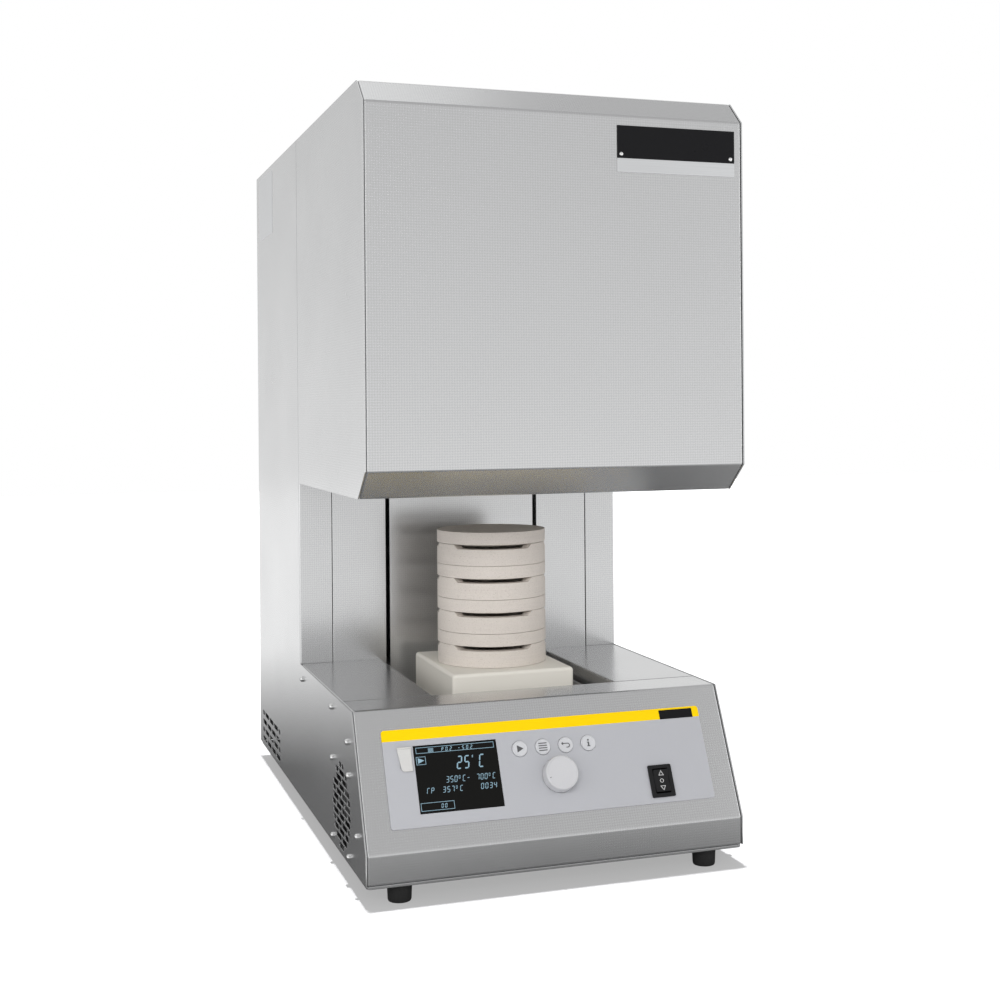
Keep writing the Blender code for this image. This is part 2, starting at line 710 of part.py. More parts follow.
def rear_panel(finishes):
    """The rear sheet with its heat vents and the opening for the power inlet."""
    line = [(REAR_PANEL_Y, PANEL_BOTTOM_Z), (REAR_PANEL_Y, OVERALL_HEIGHT - RETURN_DEPTH - SEAM_GAP)]
    panel = folded_panel("rear_panel", line, finishes["textured_steel"])
    cutter = bmesh.new()
    vents = slot_field(
        (0.0, OVERALL_HEIGHT - VENT_BELOW_TOP),
        VENT_FIELD_WIDTH,
        VENT_ROWS,
        VENT_SLOT,
        VENT_SLOT_HEIGHT,
        VENT_WEB,
        VENT_WEB,
    )
    vents.append(
        rectangle(
            INLET_PLATE_WIDTH - 2 * INLET_BODY_INSET + 2 * SEAT_GAP,
            INLET_PLATE_HEIGHT - 2 * INLET_BODY_INSET + 2 * SEAT_GAP,
            (INLET_RIGHT, INLET_Z),
        )
    )
    for outline in vents:
        add_prism(cutter, outline, REAR_PANEL_Y - SHEET - CUT_OVERRUN, REAR_PANEL_Y + CUT_OVERRUN, "Y")
    combine(panel, make_guide("rear_panel_openings", cutter), "DIFFERENCE")


def column_front_panel(finishes):
    """The panel between the column's flanges, with the two slots that the lift arms pass through."""
    bottom = LOWER_PLATE_Z - SHEET
    line = [(COLUMN_FRONT_Y, COLUMN_PANEL_TOP_Z), (COLUMN_FRONT_Y, bottom)]
    half_width = HALF_WIDTH - COLUMN_FLANGE - SEAM_GAP
    panel = folded_panel("column_front_panel", line, finishes["textured_steel"], half_width)
    slot_width = TABLE_SHEET + 2 * SLOT_CLEARANCE
    slot_bottom = TABLE_Z - TABLE_CLEARANCE / 2
    arm_x = ARM_SPACING / 2
    cutter = bmesh.new()
    for side in (-1, 1):
        outline = rectangle(
            slot_width, SLOT_TOP_Z - slot_bottom, (side * arm_x, (SLOT_TOP_Z + slot_bottom) / 2)
        )
        add_prism(cutter, outline, COLUMN_FRONT_Y - CUT_OVERRUN, COLUMN_FRONT_Y + SHEET + CUT_OVERRUN, "Y")
    combine(panel, make_guide("column_front_panel_slots", cutter), "DIFFERENCE")


def base_deck(finishes):
    """The deck sheet behind the console, with the well that the plug sinks into."""
    front = STRIP_REAR_Y + SEAM_GAP
    rear = COLUMN_FRONT_Y - SEAT_GAP
    deck = folded_panel("base_deck", [(rear, DECK_Z), (front, DECK_Z)], finishes["textured_steel"])
    half_well = WELL_WIDTH / 2
    shell = box((-half_well - SHEET, front, WELL_FLOOR_Z - SHEET), (half_well + SHEET, rear, DECK_Z))
    combine(deck, make_guide("base_deck_well", shell), "UNION")
    hollow = box(
        (-half_well, front + SHEET, WELL_FLOOR_Z), (half_well, rear + CUT_OVERRUN, DECK_Z + CUT_OVERRUN)
    )
    combine(deck, make_guide("base_deck_well_hollow", hollow), "DIFFERENCE")


def front_console(finishes, slope):
    """The console sheet: rear fold, top strip, slope, lip and bottom return, with its cut-outs."""
    line = [
        (STRIP_REAR_Y, DECK_Z - RETURN_DEPTH),
        (STRIP_REAR_Y, DECK_Z),
        (STRIP_FRONT_Y, DECK_Z),
        (LIP_Y, FOLD_Z),
        (LIP_Y, PANEL_BOTTOM_Z),
        (LIP_Y + RETURN_DEPTH, PANEL_BOTTOM_Z),
    ]
    console = folded_panel("front_console", line, finishes["textured_steel"])
    combine(console, console_cutter("front_console_openings", slope), "DIFFERENCE")


def console_cutter(name, slope):
    """Everything that passes through the console sheet and its overlay."""
    low, high = -SHEET - CUT_OVERRUN, OVERLAY_FACE + CUT_OVERRUN
    cutter = bmesh.new()
    window = rectangle(
        DISPLAY_WIDTH + 2 * SEAT_GAP, DISPLAY_HEIGHT + 2 * SEAT_GAP, (DISPLAY_RIGHT, DISPLAY_UP)
    )
    add_prism(cutter, window, low, high)
    port = rectangle(USB_WIDTH + 2 * SEAT_GAP, USB_HEIGHT + 2 * SEAT_GAP, (USB_RIGHT, USB_UP))
    add_prism(cutter, port, low, high)
    for i in range(BUTTON_COUNT):
        add_prism(cutter, circle(BUTTON_RADIUS + SEAT_GAP, SMALL_ROUND_STEPS, button_place(i)), low, high)
    shaft_hole = circle(DIAL_SHAFT_RADIUS + SEAM_GAP, SMALL_ROUND_STEPS, (CONTROL_RIGHT, DIAL_UP))
    add_prism(cutter, shaft_hole, low, high)
    switch = rectangle(
        ROCKER_WIDTH - 2 * ROCKER_RIM + 2 * SEAT_GAP,
        ROCKER_HEIGHT - 2 * ROCKER_RIM + 2 * SEAT_GAP,
        (ROCKER_RIGHT, ROCKER_UP),
    )
    add_prism(cutter, switch, low, high)
    return make_guide(name, cutter, parent=slope)


def button_place(index):
    """Where a button's centre is on the slope."""
    return CONTROL_RIGHT + (index - (BUTTON_COUNT - 1) / 2) * BUTTON_PITCH, BUTTON_UP


def control_overlay(finishes, slope):
    """The printed foil on the slope."""
    outline = rounded_rectangle(OVERLAY_WIDTH, OVERLAY_HEIGHT, OVERLAY_RADIUS, (0.0, OVERLAY_UP))
    foil = make_object(
        "control_overlay", prism(outline, SEAT_GAP, OVERLAY_FACE), finishes["overlay_foil"], parent=slope
    )
    combine(foil, console_cutter("control_overlay_openings", slope), "DIFFERENCE")


def display_module(finishes, slope):
    """The display: its glass fills the window, its flange lies behind the console sheet."""
    half_w, half_h = DISPLAY_WIDTH / 2, DISPLAY_HEIGHT / 2
    flange_back = BEHIND_CONSOLE - DISPLAY_FLANGE_THICKNESS
    back = flange_back - DISPLAY_DEPTH
    bm = bmesh.new()
    add_box(bm, (-half_w, -half_h, back), (half_w, half_h, OVERLAY_FACE - SEAT_GAP))
    display = make_object(
        "display_module", bm, finishes["display_glass"], (DISPLAY_RIGHT, DISPLAY_UP, 0.0), slope
    )
    flange = box(
        (-half_w - DISPLAY_FLANGE, -half_h - DISPLAY_FLANGE, flange_back),
        (half_w + DISPLAY_FLANGE, half_h + DISPLAY_FLANGE, BEHIND_CONSOLE),
    )
    guide = make_guide("display_module_flange", flange, (DISPLAY_RIGHT, DISPLAY_UP, 0.0), slope)
    combine(display, guide, "UNION")


def usb_port(finishes, slope):
    """The USB socket behind the console and the hinged cover in front of it."""
    place = (USB_RIGHT, USB_UP, 0.0)
    back = BOARD_FACE + SEAT_GAP
    front = OVERLAY_FACE
    shell = prism(rectangle(USB_WIDTH, USB_HEIGHT), back, front)
    socket = make_object("usb_socket", shell, finishes["machined_steel"], place, slope)
    flange = prism(
        rectangle(USB_WIDTH + 2 * USB_FLANGE, USB_HEIGHT + 2 * USB_FLANGE),
        BEHIND_CONSOLE - USB_WALL,
        BEHIND_CONSOLE,
    )
    combine(socket, make_guide("usb_socket_flange", flange, place, slope), "UNION")
    hollow = prism(
        rectangle(USB_WIDTH - 2 * USB_WALL, USB_HEIGHT - 2 * USB_WALL), back + USB_WALL, front + CUT_OVERRUN
    )
    combine(socket, make_guide("usb_socket_hollow", hollow, place, slope), "DIFFERENCE")

    hinge_up = USB_UP + FLAP_LENGTH / 2 - FLAP_KNUCKLE_RADIUS
    hinge = (USB_RIGHT, hinge_up, OVERLAY_FACE + SEAT_GAP + FLAP_KNUCKLE_RADIUS)
    bottom = FLAP_KNUCKLE_RADIUS - FLAP_LENGTH
    half = FLAP_WIDTH / 2
    outline = [(half, 0.0), (half, bottom + FLAP_END_RADIUS)]
    outline += [
        (
            half - FLAP_END_RADIUS + FLAP_END_RADIUS * math.cos(angle),
            bottom + FLAP_END_RADIUS - FLAP_END_RADIUS * math.sin(angle),
        )
        for angle in (math.pi / 8, math.pi / 4, math.pi * 3 / 8, math.pi / 2)
    ]
    outline += [(-a, b) for a, b in outline[::-1]]
    plate = prism(outline, -FLAP_KNUCKLE_RADIUS, FLAP_THICKNESS - FLAP_KNUCKLE_RADIUS)
    flap = make_object("usb_flap", plate, finishes["flap_plastic"], hinge, slope)
    knuckle = prism(circle(FLAP_KNUCKLE_RADIUS, TINY_ROUND_STEPS), -half, half, "X")
    combine(flap, make_guide("usb_flap_knuckle", knuckle, hinge, slope), "UNION")


def buttons(finishes, slope):
    """Four push buttons: a cap in the overlay, a flange behind the console and a stem to the board."""
    cap_top = OVERLAY_FACE + BUTTON_PROUD
    flange_back = BEHIND_CONSOLE - BUTTON_FLANGE_THICKNESS
    stem_end = BOARD_FACE + BUTTON_TRAVEL + SEAM_GAP
    edge = BUTTON_PROUD / 3
    profile = [
        (0.0, stem_end),
        (BUTTON_STEM_RADIUS, stem_end),
        (BUTTON_STEM_RADIUS, flange_back),
        (BUTTON_RADIUS + BUTTON_FLANGE, flange_back),
        (BUTTON_RADIUS + BUTTON_FLANGE, BEHIND_CONSOLE),
        (BUTTON_RADIUS, BEHIND_CONSOLE),
        (BUTTON_RADIUS, cap_top - edge),
        (BUTTON_RADIUS - edge, cap_top),
        (0.0, cap_top),
    ]
    for i, name in enumerate(BUTTON_NAMES):
        cap = turned(profile, SMALL_ROUND_STEPS)
        smooth(make_object(name, cap, finishes["button_plastic"], (*button_place(i), 0.0), slope))


def dial(finishes, slope):
    """The push-and-turn dial on its shaft, the encoder behind it and the rotor that the shaft turns."""
    place = (CONTROL_RIGHT, DIAL_UP, 0.0)
    skirt = OVERLAY_FACE + DIAL_TRAVEL + SEAT_GAP
    top = skirt + DIAL_HEIGHT
    shaft_end = BOARD_FACE + DIAL_TRAVEL + SEAM_GAP
    profile = [
        (0.0, shaft_end),
        (DIAL_SHAFT_RADIUS, shaft_end),
        (DIAL_SHAFT_RADIUS, skirt),
        (DIAL_RADIUS, skirt),
        (DIAL_RADIUS - DIAL_EDGE / 2, top - DIAL_EDGE),
        (DIAL_RADIUS - DIAL_EDGE, top - DIAL_EDGE / 4),
        (DIAL_RADIUS - 2 * DIAL_EDGE, top),
        (DIAL_RADIUS - 4 * DIAL_EDGE, top - DIAL_DISH),
        (0.0, top - DIAL_DISH),
    ]
    knob = smooth(make_object("dial_knob", turned(profile), finishes["dial_plastic"], place, slope))
    flat_start = DIAL_SHAFT_RADIUS - DIAL_SHAFT_FLAT
    reach = DIAL_SHAFT_RADIUS + CUT_OVERRUN
    cavity_front = BEHIND_CONSOLE - ENCODER_WALL
    flat = box((flat_start, -reach, shaft_end - CUT_OVERRUN), (reach, reach, cavity_front + DIAL_TRAVEL))
    combine(knob, make_guide("dial_knob_flat", flat, place, slope), "DIFFERENCE")

    back = BOARD_FACE + SEAT_GAP
    housing = make_object(
        "encoder_housing",
        prism(rectangle(ENCODER_SIZE, ENCODER_SIZE), back, BEHIND_CONSOLE),
        finishes["machined_steel"],
        place,
        slope,
    )
    bore_outline = circle(DIAL_SHAFT_RADIUS + SEAT_GAP, SMALL_ROUND_STEPS)
    bore = prism(bore_outline, back - CUT_OVERRUN, BEHIND_CONSOLE + CUT_OVERRUN)
    combine(housing, make_guide("encoder_housing_bore", bore, place, slope), "DIFFERENCE")
    cavity = prism(circle(ENCODER_CAVITY_RADIUS, SMALL_ROUND_STEPS), back - CUT_OVERRUN, cavity_front)
    combine(housing, make_guide("encoder_housing_cavity", cavity, place, slope), "DIFFERENCE")

    rotor_radius = ENCODER_CAVITY_RADIUS - SEAT_GAP
    rim = []
    for i in range(4 * ROTOR_NOTCHES):
        radius = rotor_radius - (ROTOR_NOTCH_DEPTH if i % 4 > 1 else 0.0)
        angle = 2 * math.pi * i / (4 * ROTOR_NOTCHES)
        rim.append((radius * math.cos(angle), radius * math.sin(angle)))
    rotor_top = cavity_front - SEAT_GAP
    disc = prism(rim, rotor_top - ROTOR_THICKNESS, rotor_top)
    rotor = make_object("encoder_rotor", disc, finishes["black_plastic"], place, slope)
    hole = [
        (min(a, flat_start + SEAT_GAP), b) for a, b in circle(DIAL_SHAFT_RADIUS + SEAT_GAP, SMALL_ROUND_STEPS)
    ]
    through = prism(hole, rotor_top - ROTOR_THICKNESS - CUT_OVERRUN, rotor_top + CUT_OVERRUN)
    combine(rotor, make_guide("encoder_rotor_hole", through, place, slope), "DIFFERENCE")


def controller_board(finishes, slope):
    """The circuit board that the display, the encoder and the button switches meet."""
    outline = rounded_rectangle(BOARD_WIDTH, BOARD_HEIGHT, OVERLAY_RADIUS, (BOARD_RIGHT, BOARD_UP))
    board = prism(outline, BOARD_FACE - BOARD_THICKNESS, BOARD_FACE)
    make_object("controller_board", board, finishes["circuit_board"], parent=slope)


def paddle_window_length():
    """How long a window lets a paddle of the shared size tilt both ways."""
    reach = math.hypot(PADDLE_LENGTH / 2, PADDLE_RISE)
    angle = math.atan2(PADDLE_RISE, PADDLE_LENGTH / 2)
    return 2 * (reach * math.cos(max(angle - PADDLE_TILT, 0.0)) + SEAT_GAP)


def paddle_depth():
    """How deep a window must be under a paddle's axis."""
    reach = math.hypot(PADDLE_LENGTH / 2, PADDLE_BELLY)
    angle = math.atan2(PADDLE_BELLY, PADDLE_LENGTH / 2)
    return reach * math.sin(angle + PADDLE_TILT) + SEAT_GAP


def paddle(name, finish, place, parent):
    """A rocker paddle with its origin on its pin."""
    half = PADDLE_LENGTH / 2
    outline = [
        (-half, PADDLE_RISE),
        (0.0, PADDLE_CENTRE_RISE),
        (half, PADDLE_RISE),
        (half, 0.0),
        (half / 2, -PADDLE_BELLY),
        (-half / 2, -PADDLE_BELLY),
        (-half, 0.0),
    ]
    body = prism(outline, -PADDLE_WIDTH / 2, PADDLE_WIDTH / 2, "X")
    made = make_object(name, body, finish, place, parent)
    pin_half = PADDLE_WIDTH / 2 + SEAT_GAP + PADDLE_PIN_LENGTH
    pin = prism(circle(PADDLE_PIN_RADIUS, TINY_ROUND_STEPS), -pin_half, pin_half, "X")
    combine(made, make_guide(name + "_pin", pin, place, parent), "UNION")


def cut_paddle_window(frame, name, place, top, parent):
    """Opens a switch frame for its paddle and the paddle's pin."""
    width = PADDLE_WIDTH + 2 * SEAT_GAP
    window = box(
        (-width / 2, -paddle_window_length() / 2, -paddle_depth()),
        (width / 2, paddle_window_length() / 2, top - place[2] + CUT_OVERRUN),
    )
    combine(frame, make_guide(name + "_window", window, place, parent), "DIFFERENCE")
    pin_half = PADDLE_WIDTH / 2 + PADDLE_PIN_LENGTH + 2 * SEAT_GAP
    hole = prism(circle(PADDLE_PIN_RADIUS + SEAT_GAP, TINY_ROUND_STEPS), -pin_half, pin_half, "X")
    combine(frame, make_guide(name + "_pin_hole", hole, place, parent), "DIFFERENCE")


def lift_switch(finishes, slope):
    """The up and down rocker of the lift, in its bezel."""
    face = OVERLAY_FACE + ROCKER_PROUD
    axis = face - PADDLE_CENTRE_RISE
    place = (ROCKER_RIGHT, ROCKER_UP, axis)
    bezel_back = OVERLAY_FACE + SEAT_GAP
    bezel_outline = rounded_rectangle(ROCKER_WIDTH, ROCKER_HEIGHT, ROCKER_RIM, (ROCKER_RIGHT, ROCKER_UP))
    bezel = prism(bezel_outline, bezel_back, face)
    frame = make_object("rocker_frame", bezel, finishes["black_plastic"], parent=slope)
    body = prism(
        rectangle(ROCKER_WIDTH - 2 * ROCKER_RIM, ROCKER_HEIGHT - 2 * ROCKER_RIM, (ROCKER_RIGHT, ROCKER_UP)),
        -ROCKER_BODY_DEPTH,
        bezel_back + ROCKER_PROUD / 2,
    )
    combine(frame, make_guide("rocker_frame_body", body, parent=slope), "UNION")
    cut_paddle_window(frame, "rocker_frame", place, face, slope)
    paddle("rocker_paddle", finishes["black_plastic"], place, slope)


def power_inlet(finishes, rear):
    """The mains socket and its switch in one plate, on the rear panel."""
    face = SEAT_GAP + INLET_PLATE_THICKNESS
    plate = prism(
        rounded_rectangle(INLET_PLATE_WIDTH, INLET_PLATE_HEIGHT, INLET_BODY_INSET), SEAT_GAP, face
    )
    inlet = make_object("power_inlet", plate, finishes["black_plastic"], parent=rear)
    body = prism(
        rectangle(INLET_PLATE_WIDTH - 2 * INLET_BODY_INSET, INLET_PLATE_HEIGHT - 2 * INLET_BODY_INSET),
        -INLET_BODY_DEPTH,
        SEAT_GAP + INLET_PLATE_THICKNESS / 2,
    )
    combine(inlet, make_guide("power_inlet_body", body, parent=rear), "UNION")
    half_w, half_h = INLET_SOCKET_WIDTH / 2, INLET_SOCKET_HEIGHT / 2
    cut = INLET_SOCKET_CHAMFER
    outline = [
        (half_w, -half_h),
        (half_w, half_h - cut),
        (half_w - cut, half_h),
        (cut - half_w, half_h),
        (-half_w, half_h - cut),
        (-half_w, -half_h),
    ]
    lowered = [(a, b - INLET_SOCKET_DOWN) for a, b in outline]
    socket = prism(lowered, face - INLET_SOCKET_DEPTH, face + CUT_OVERRUN)
    combine(inlet, make_guide("power_inlet_socket", socket, parent=rear), "DIFFERENCE")
    place = (0.0, INLET_SWITCH_UP, face - PADDLE_RISE)
    turned_frame = make_empty("mains_switch_axis", place, (0.0, 0.0, math.pi / 2), rear)
    cut_paddle_window(inlet, "power_inlet", (0.0, 0.0, 0.0), PADDLE_RISE, turned_frame)
    paddle("mains_switch_paddle", finishes["black_plastic"], (0.0, 0.0, 0.0), turned_frame)


def head_panels(finishes):
    """The head's two side sheets, its wrapped front, its floor with the plug opening, and the top cover."""
    outline = [
        (FRONT_Y, OVERALL_HEIGHT - TOP_CHAMFER_HEIGHT),
        (FRONT_Y, HEAD_BOTTOM_Z + LOW_CHAMFER_HEIGHT),
        (FRONT_Y + LOW_CHAMFER_DEPTH, HEAD_BOTTOM_Z),
        (COLUMN_FRONT_Y - SEAM_GAP, HEAD_BOTTOM_Z),
        (COLUMN_FRONT_Y - SEAM_GAP, OVERALL_HEIGHT),
        (FRONT_Y + TOP_CHAMFER_DEPTH, OVERALL_HEIGHT),
    ]
    for name, side in (("head_left_panel", -1), ("head_right_panel", 1)):
        sheet = prism(outline, side * PANEL_INSIDE_X, side * HALF_WIDTH, "X")
        make_object(name, sheet, finishes["textured_steel"])

    low_edge = FRONT_Y + LOW_CHAMFER_DEPTH
    top_edge = FRONT_Y + TOP_CHAMFER_DEPTH
    line = [
        (top_edge + RETURN_DEPTH, OVERALL_HEIGHT),
        (top_edge, OVERALL_HEIGHT),
        (FRONT_Y, OVERALL_HEIGHT - TOP_CHAMFER_HEIGHT),
        (FRONT_Y, HEAD_BOTTOM_Z + LOW_CHAMFER_HEIGHT),
        (low_edge, HEAD_BOTTOM_Z),
        (low_edge + RETURN_DEPTH, HEAD_BOTTOM_Z),
    ]
    folded_panel("head_front_panel", line, finishes["textured_steel"])

    floor_front = low_edge + RETURN_DEPTH + SEAT_GAP
    floor_line = [(floor_front, HEAD_BOTTOM_Z), (COLUMN_FRONT_Y - SEAM_GAP, HEAD_BOTTOM_Z)]
    floor = folded_panel("head_floor_plate", floor_line, finishes["textured_steel"])
    opening = prism(plug_opening(), HEAD_BOTTOM_Z - CUT_OVERRUN, HEAD_BOTTOM_Z + CUT_OVERRUN)
    combine(floor, make_guide("head_floor_plate_opening", opening), "DIFFERENCE")

    cover_line = [
        (REAR_PANEL_Y, OVERALL_HEIGHT - RETURN_DEPTH),
        (REAR_PANEL_Y, OVERALL_HEIGHT),
        (top_edge + RETURN_DEPTH + SEAT_GAP, OVERALL_HEIGHT),
    ]
    cover = folded_panel("top_cover", cover_line, finishes["textured_steel"])
    cutter = bmesh.new()
    vents = slot_field(
        (0.0, REAR_Y - TOP_VENT_FROM_REAR),
        VENT_FIELD_WIDTH,
        VENT_ROWS,
        VENT_SLOT,
        VENT_SLOT_HEIGHT,
        VENT_WEB,
        VENT_WEB,
    )
    vents.append(circle(EXHAUST_RADIUS, SMALL_ROUND_STEPS, (0.0, LIFT_Y)))
    for outline in vents:
        add_prism(cutter, outline, OVERALL_HEIGHT - SHEET - CUT_OVERRUN, OVERALL_HEIGHT + CUT_OVERRUN)
    combine(cover, make_guide("top_cover_openings", cutter), "DIFFERENCE")


def plug_opening():
    """The outline that the plug passes through, with its clearance all round."""
    return rounded_rectangle(
        PLUG_WIDTH + 2 * PLUG_OPENING_GAP,
        PLUG_LENGTH + 2 * PLUG_OPENING_GAP,
        PLUG_EDGE_RADIUS,
        (0.0, LIFT_Y),
    )


def element_places():
    """Each heating element's angle round the chamber, in radians."""
    return [math.pi / 4 + 2 * math.pi * i / ELEMENT_COUNT for i in range(ELEMENT_COUNT)]


def chamber(finishes):
    """The insulation round the chamber, its roof, and the inner casing that holds them."""
    low, high = INSULATION_FRONT_Y, INSULATION_REAR_Y
    outline = rectangle(2 * INSULATION_HALF_X, high - low, (0.0, (low + high) / 2))
    walls = make_object(
        "chamber_insulation", prism(outline, FLOOR_TOP_Z, CAVITY_TOP_Z), finishes["fibre_insulation"]
    )
    entry = prism(plug_opening(), FLOOR_TOP_Z - CUT_OVERRUN, MOUTH_Z)
    combine(walls, make_guide("chamber_insulation_entry", entry), "DIFFERENCE")
    centre = (0.0, LIFT_Y)
    open_top = CAVITY_TOP_Z + CUT_OVERRUN
    mouth = prism(circle(MOUTH_RADIUS, ROUND_STEPS, centre), FLOOR_TOP_Z, open_top)
    combine(walls, make_guide("chamber_insulation_mouth", mouth), "DIFFERENCE")
    cavity = prism(circle(CAVITY_RADIUS, ROUND_STEPS, centre), MOUTH_Z + MOUTH_LIP, open_top)
    combine(walls, make_guide("chamber_insulation_cavity", cavity), "DIFFERENCE")

    roof_bottom = CAVITY_TOP_Z + SEAT_GAP
    slab = prism(outline, roof_bottom, ROOF_TOP_Z)
    roof = make_object("roof_insulation", slab, finishes["fibre_insulation"])
    holes = bmesh.new()
    for angle in element_places():
        for side in (-1, 1):
            a = ELEMENT_CIRCLE * math.cos(angle) - side * ELEMENT_LEG_SPACING / 2 * math.sin(angle)
            b = LIFT_Y + ELEMENT_CIRCLE * math.sin(angle) + side * ELEMENT_LEG_SPACING / 2 * math.cos(angle)
            leg_hole = circle(ELEMENT_COLD_RADIUS + SEAT_GAP, TINY_ROUND_STEPS, (a, b))
            add_prism(holes, leg_hole, roof_bottom - CUT_OVERRUN, ROOF_TOP_Z + CUT_OVERRUN)
    sheath_hole = circle(THERMOCOUPLE_RADIUS + SEAT_GAP, TINY_ROUND_STEPS, (0.0, LIFT_Y + ELEMENT_CIRCLE))
    add_prism(holes, sheath_hole, roof_bottom - CUT_OVERRUN, ROOF_TOP_Z + CUT_OVERRUN)
    exhaust = circle(EXHAUST_RADIUS, TINY_ROUND_STEPS, centre)
    add_prism(holes, exhaust, roof_bottom - CUT_OVERRUN, ROOF_TOP_Z + CUT_OVERRUN)
    combine(roof, make_guide("roof_insulation_holes", holes), "DIFFERENCE")

    gap = SEAT_GAP + CASING_SHEET
    casing_top = ROOF_TOP_Z + CASING_RISE
    outer = rectangle(2 * (INSULATION_HALF_X + gap), high - low + 2 * gap, (0.0, (low + high) / 2))
    inner = rectangle(2 * (INSULATION_HALF_X + SEAT_GAP), high - low + 2 * SEAT_GAP, (0.0, (low + high) / 2))
    casing = make_object("inner_casing", prism(outer, FLOOR_TOP_Z, casing_top), finishes["inner_steel"])
    hollow = prism(inner, FLOOR_TOP_Z - CUT_OVERRUN, casing_top + CUT_OVERRUN)
    combine(casing, make_guide("inner_casing_hollow", hollow), "DIFFERENCE")


def heating_elements(finishes):
    """U-shaped elements: thick cold ends through the roof, a thin hot loop down in the cavity."""
    top = ROOF_TOP_Z + ELEMENT_ABOVE_ROOF
    neck = CAVITY_TOP_Z + SEAT_GAP
    half = ELEMENT_LEG_SPACING / 2
    bottom = MOUTH_Z + MOUTH_LIP + ELEMENT_ABOVE_LIP + half
    taper = ELEMENT_COLD_RADIUS
    bend = [math.pi * i / 8 for i in range(9)]
    leg = [(top, ELEMENT_COLD_RADIUS), (neck, ELEMENT_COLD_RADIUS), (neck - taper, ELEMENT_HOT_RADIUS)]
    route = [(half, z, radius) for z, radius in leg]
    route += [(half * math.cos(a), bottom - half * math.sin(a), ELEMENT_HOT_RADIUS) for a in bend]
    route += [(-half, z, radius) for z, radius in leg[::-1]]
    for i, angle in enumerate(element_places()):
        name = f"heating_element_{i + 1}"
        curve = bpy.data.curves.new(name, "CURVE")
        curve.dimensions = "3D"
        curve.bevel_depth = 1.0
        curve.bevel_resolution = 1
        curve.use_fill_caps = True
        spline = curve.splines.new("POLY")
        spline.points.add(len(route) - 1)
        for point, (a, z, radius) in zip(spline.points, route):
            point.co = (a, 0.0, z, 1.0)
            point.radius = radius
        curve.materials.append(finishes["element_ceramic"])
        element = bpy.data.objects.new(name, curve)
        bpy.context.scene.collection.objects.link(element)
        element.location = (ELEMENT_CIRCLE * math.cos(angle), LIFT_Y + ELEMENT_CIRCLE * math.sin(angle), 0.0)
        element.rotation_euler = (0.0, 0.0, angle + math.pi / 2)


def thermocouple(finishes):
    """The ceramic sheath through the roof, with its terminal head."""
    tip = CAVITY_TOP_Z - THERMOCOUPLE_DEPTH
    head = ROOF_TOP_Z + SEAT_GAP
    profile = [
        (0.0, tip),
        (THERMOCOUPLE_RADIUS, tip),
        (THERMOCOUPLE_RADIUS, head),
        (THERMOCOUPLE_HEAD_RADIUS, head),
        (THERMOCOUPLE_HEAD_RADIUS, head + THERMOCOUPLE_HEAD_HEIGHT),
        (0.0, head + THERMOCOUPLE_HEAD_HEIGHT),
    ]
    place = (0.0, LIFT_Y + ELEMENT_CIRCLE, 0.0)
    smooth(make_object("thermocouple", turned(profile, TINY_ROUND_STEPS), finishes["plug_ceramic"], place))


def lift_table(finishes, lift):
    """The folded table under the plug, with the two arms that reach through the column's slots."""
    outside = (ARM_SPACING + TABLE_SHEET) / 2
    inside = outside - TABLE_SHEET
    front = -PLUG_LENGTH / 2 - TABLE_MARGIN
    rear = COLUMN_FRONT_Y - LIFT_Y - TABLE_MARGIN
    arm_end = SCREW_Y + CARRIAGE_DEPTH / 2 - LIFT_Y
    low = TABLE_Z - PLUG_TOP_Z
    table = make_object(
        "lift_table",
        box((-outside, front, low), (outside, rear, low + TABLE_SHEET)),
        finishes["machined_steel"],
        parent=lift,
    )
    for side, name in ((-1, "lift_table_left_arm"), (1, "lift_table_right_arm")):
        low_x, high_x = sorted((side * inside, side * outside))
        arm = box((low_x, front, low), (high_x, arm_end, low + ARM_HEIGHT))
        combine(table, make_guide(name, arm, parent=lift), "UNION")


def plug_block(finishes, lift):
    """The square ceramic plug, with soft edges."""
    block = box((-PLUG_WIDTH / 2, -PLUG_LENGTH / 2, -PLUG_HEIGHT), (PLUG_WIDTH / 2, PLUG_LENGTH / 2, 0.0))
    edges = [e for e in block.edges if max(v.co.z for v in e.verts) > -PLUG_HEIGHT / 2]
    bmesh.ops.bevel(
        block,
        geom=edges,
        offset=PLUG_EDGE_RADIUS,
        segments=CORNER_STEPS,
        profile=0.5,
        affect="EDGES",
        material=-1,
    )
    smooth(make_object("plug_block", block, finishes["plug_ceramic"], parent=lift))


def sagger_rim(angle):
    """How far the rim is cut down at an angle round a sagger, as a share of the slit's height."""
    apart = 2 * math.pi / SLITS_PER_SAGGER
    away = abs((angle - SLIT_TURN + apart / 2) % apart - apart / 2)
    ramp = (SLIT_RIM_ANGLE - SLIT_FLOOR_ANGLE) / 2
    return min(max((SLIT_RIM_ANGLE / 2 - away) / ramp, 0.0), 1.0)


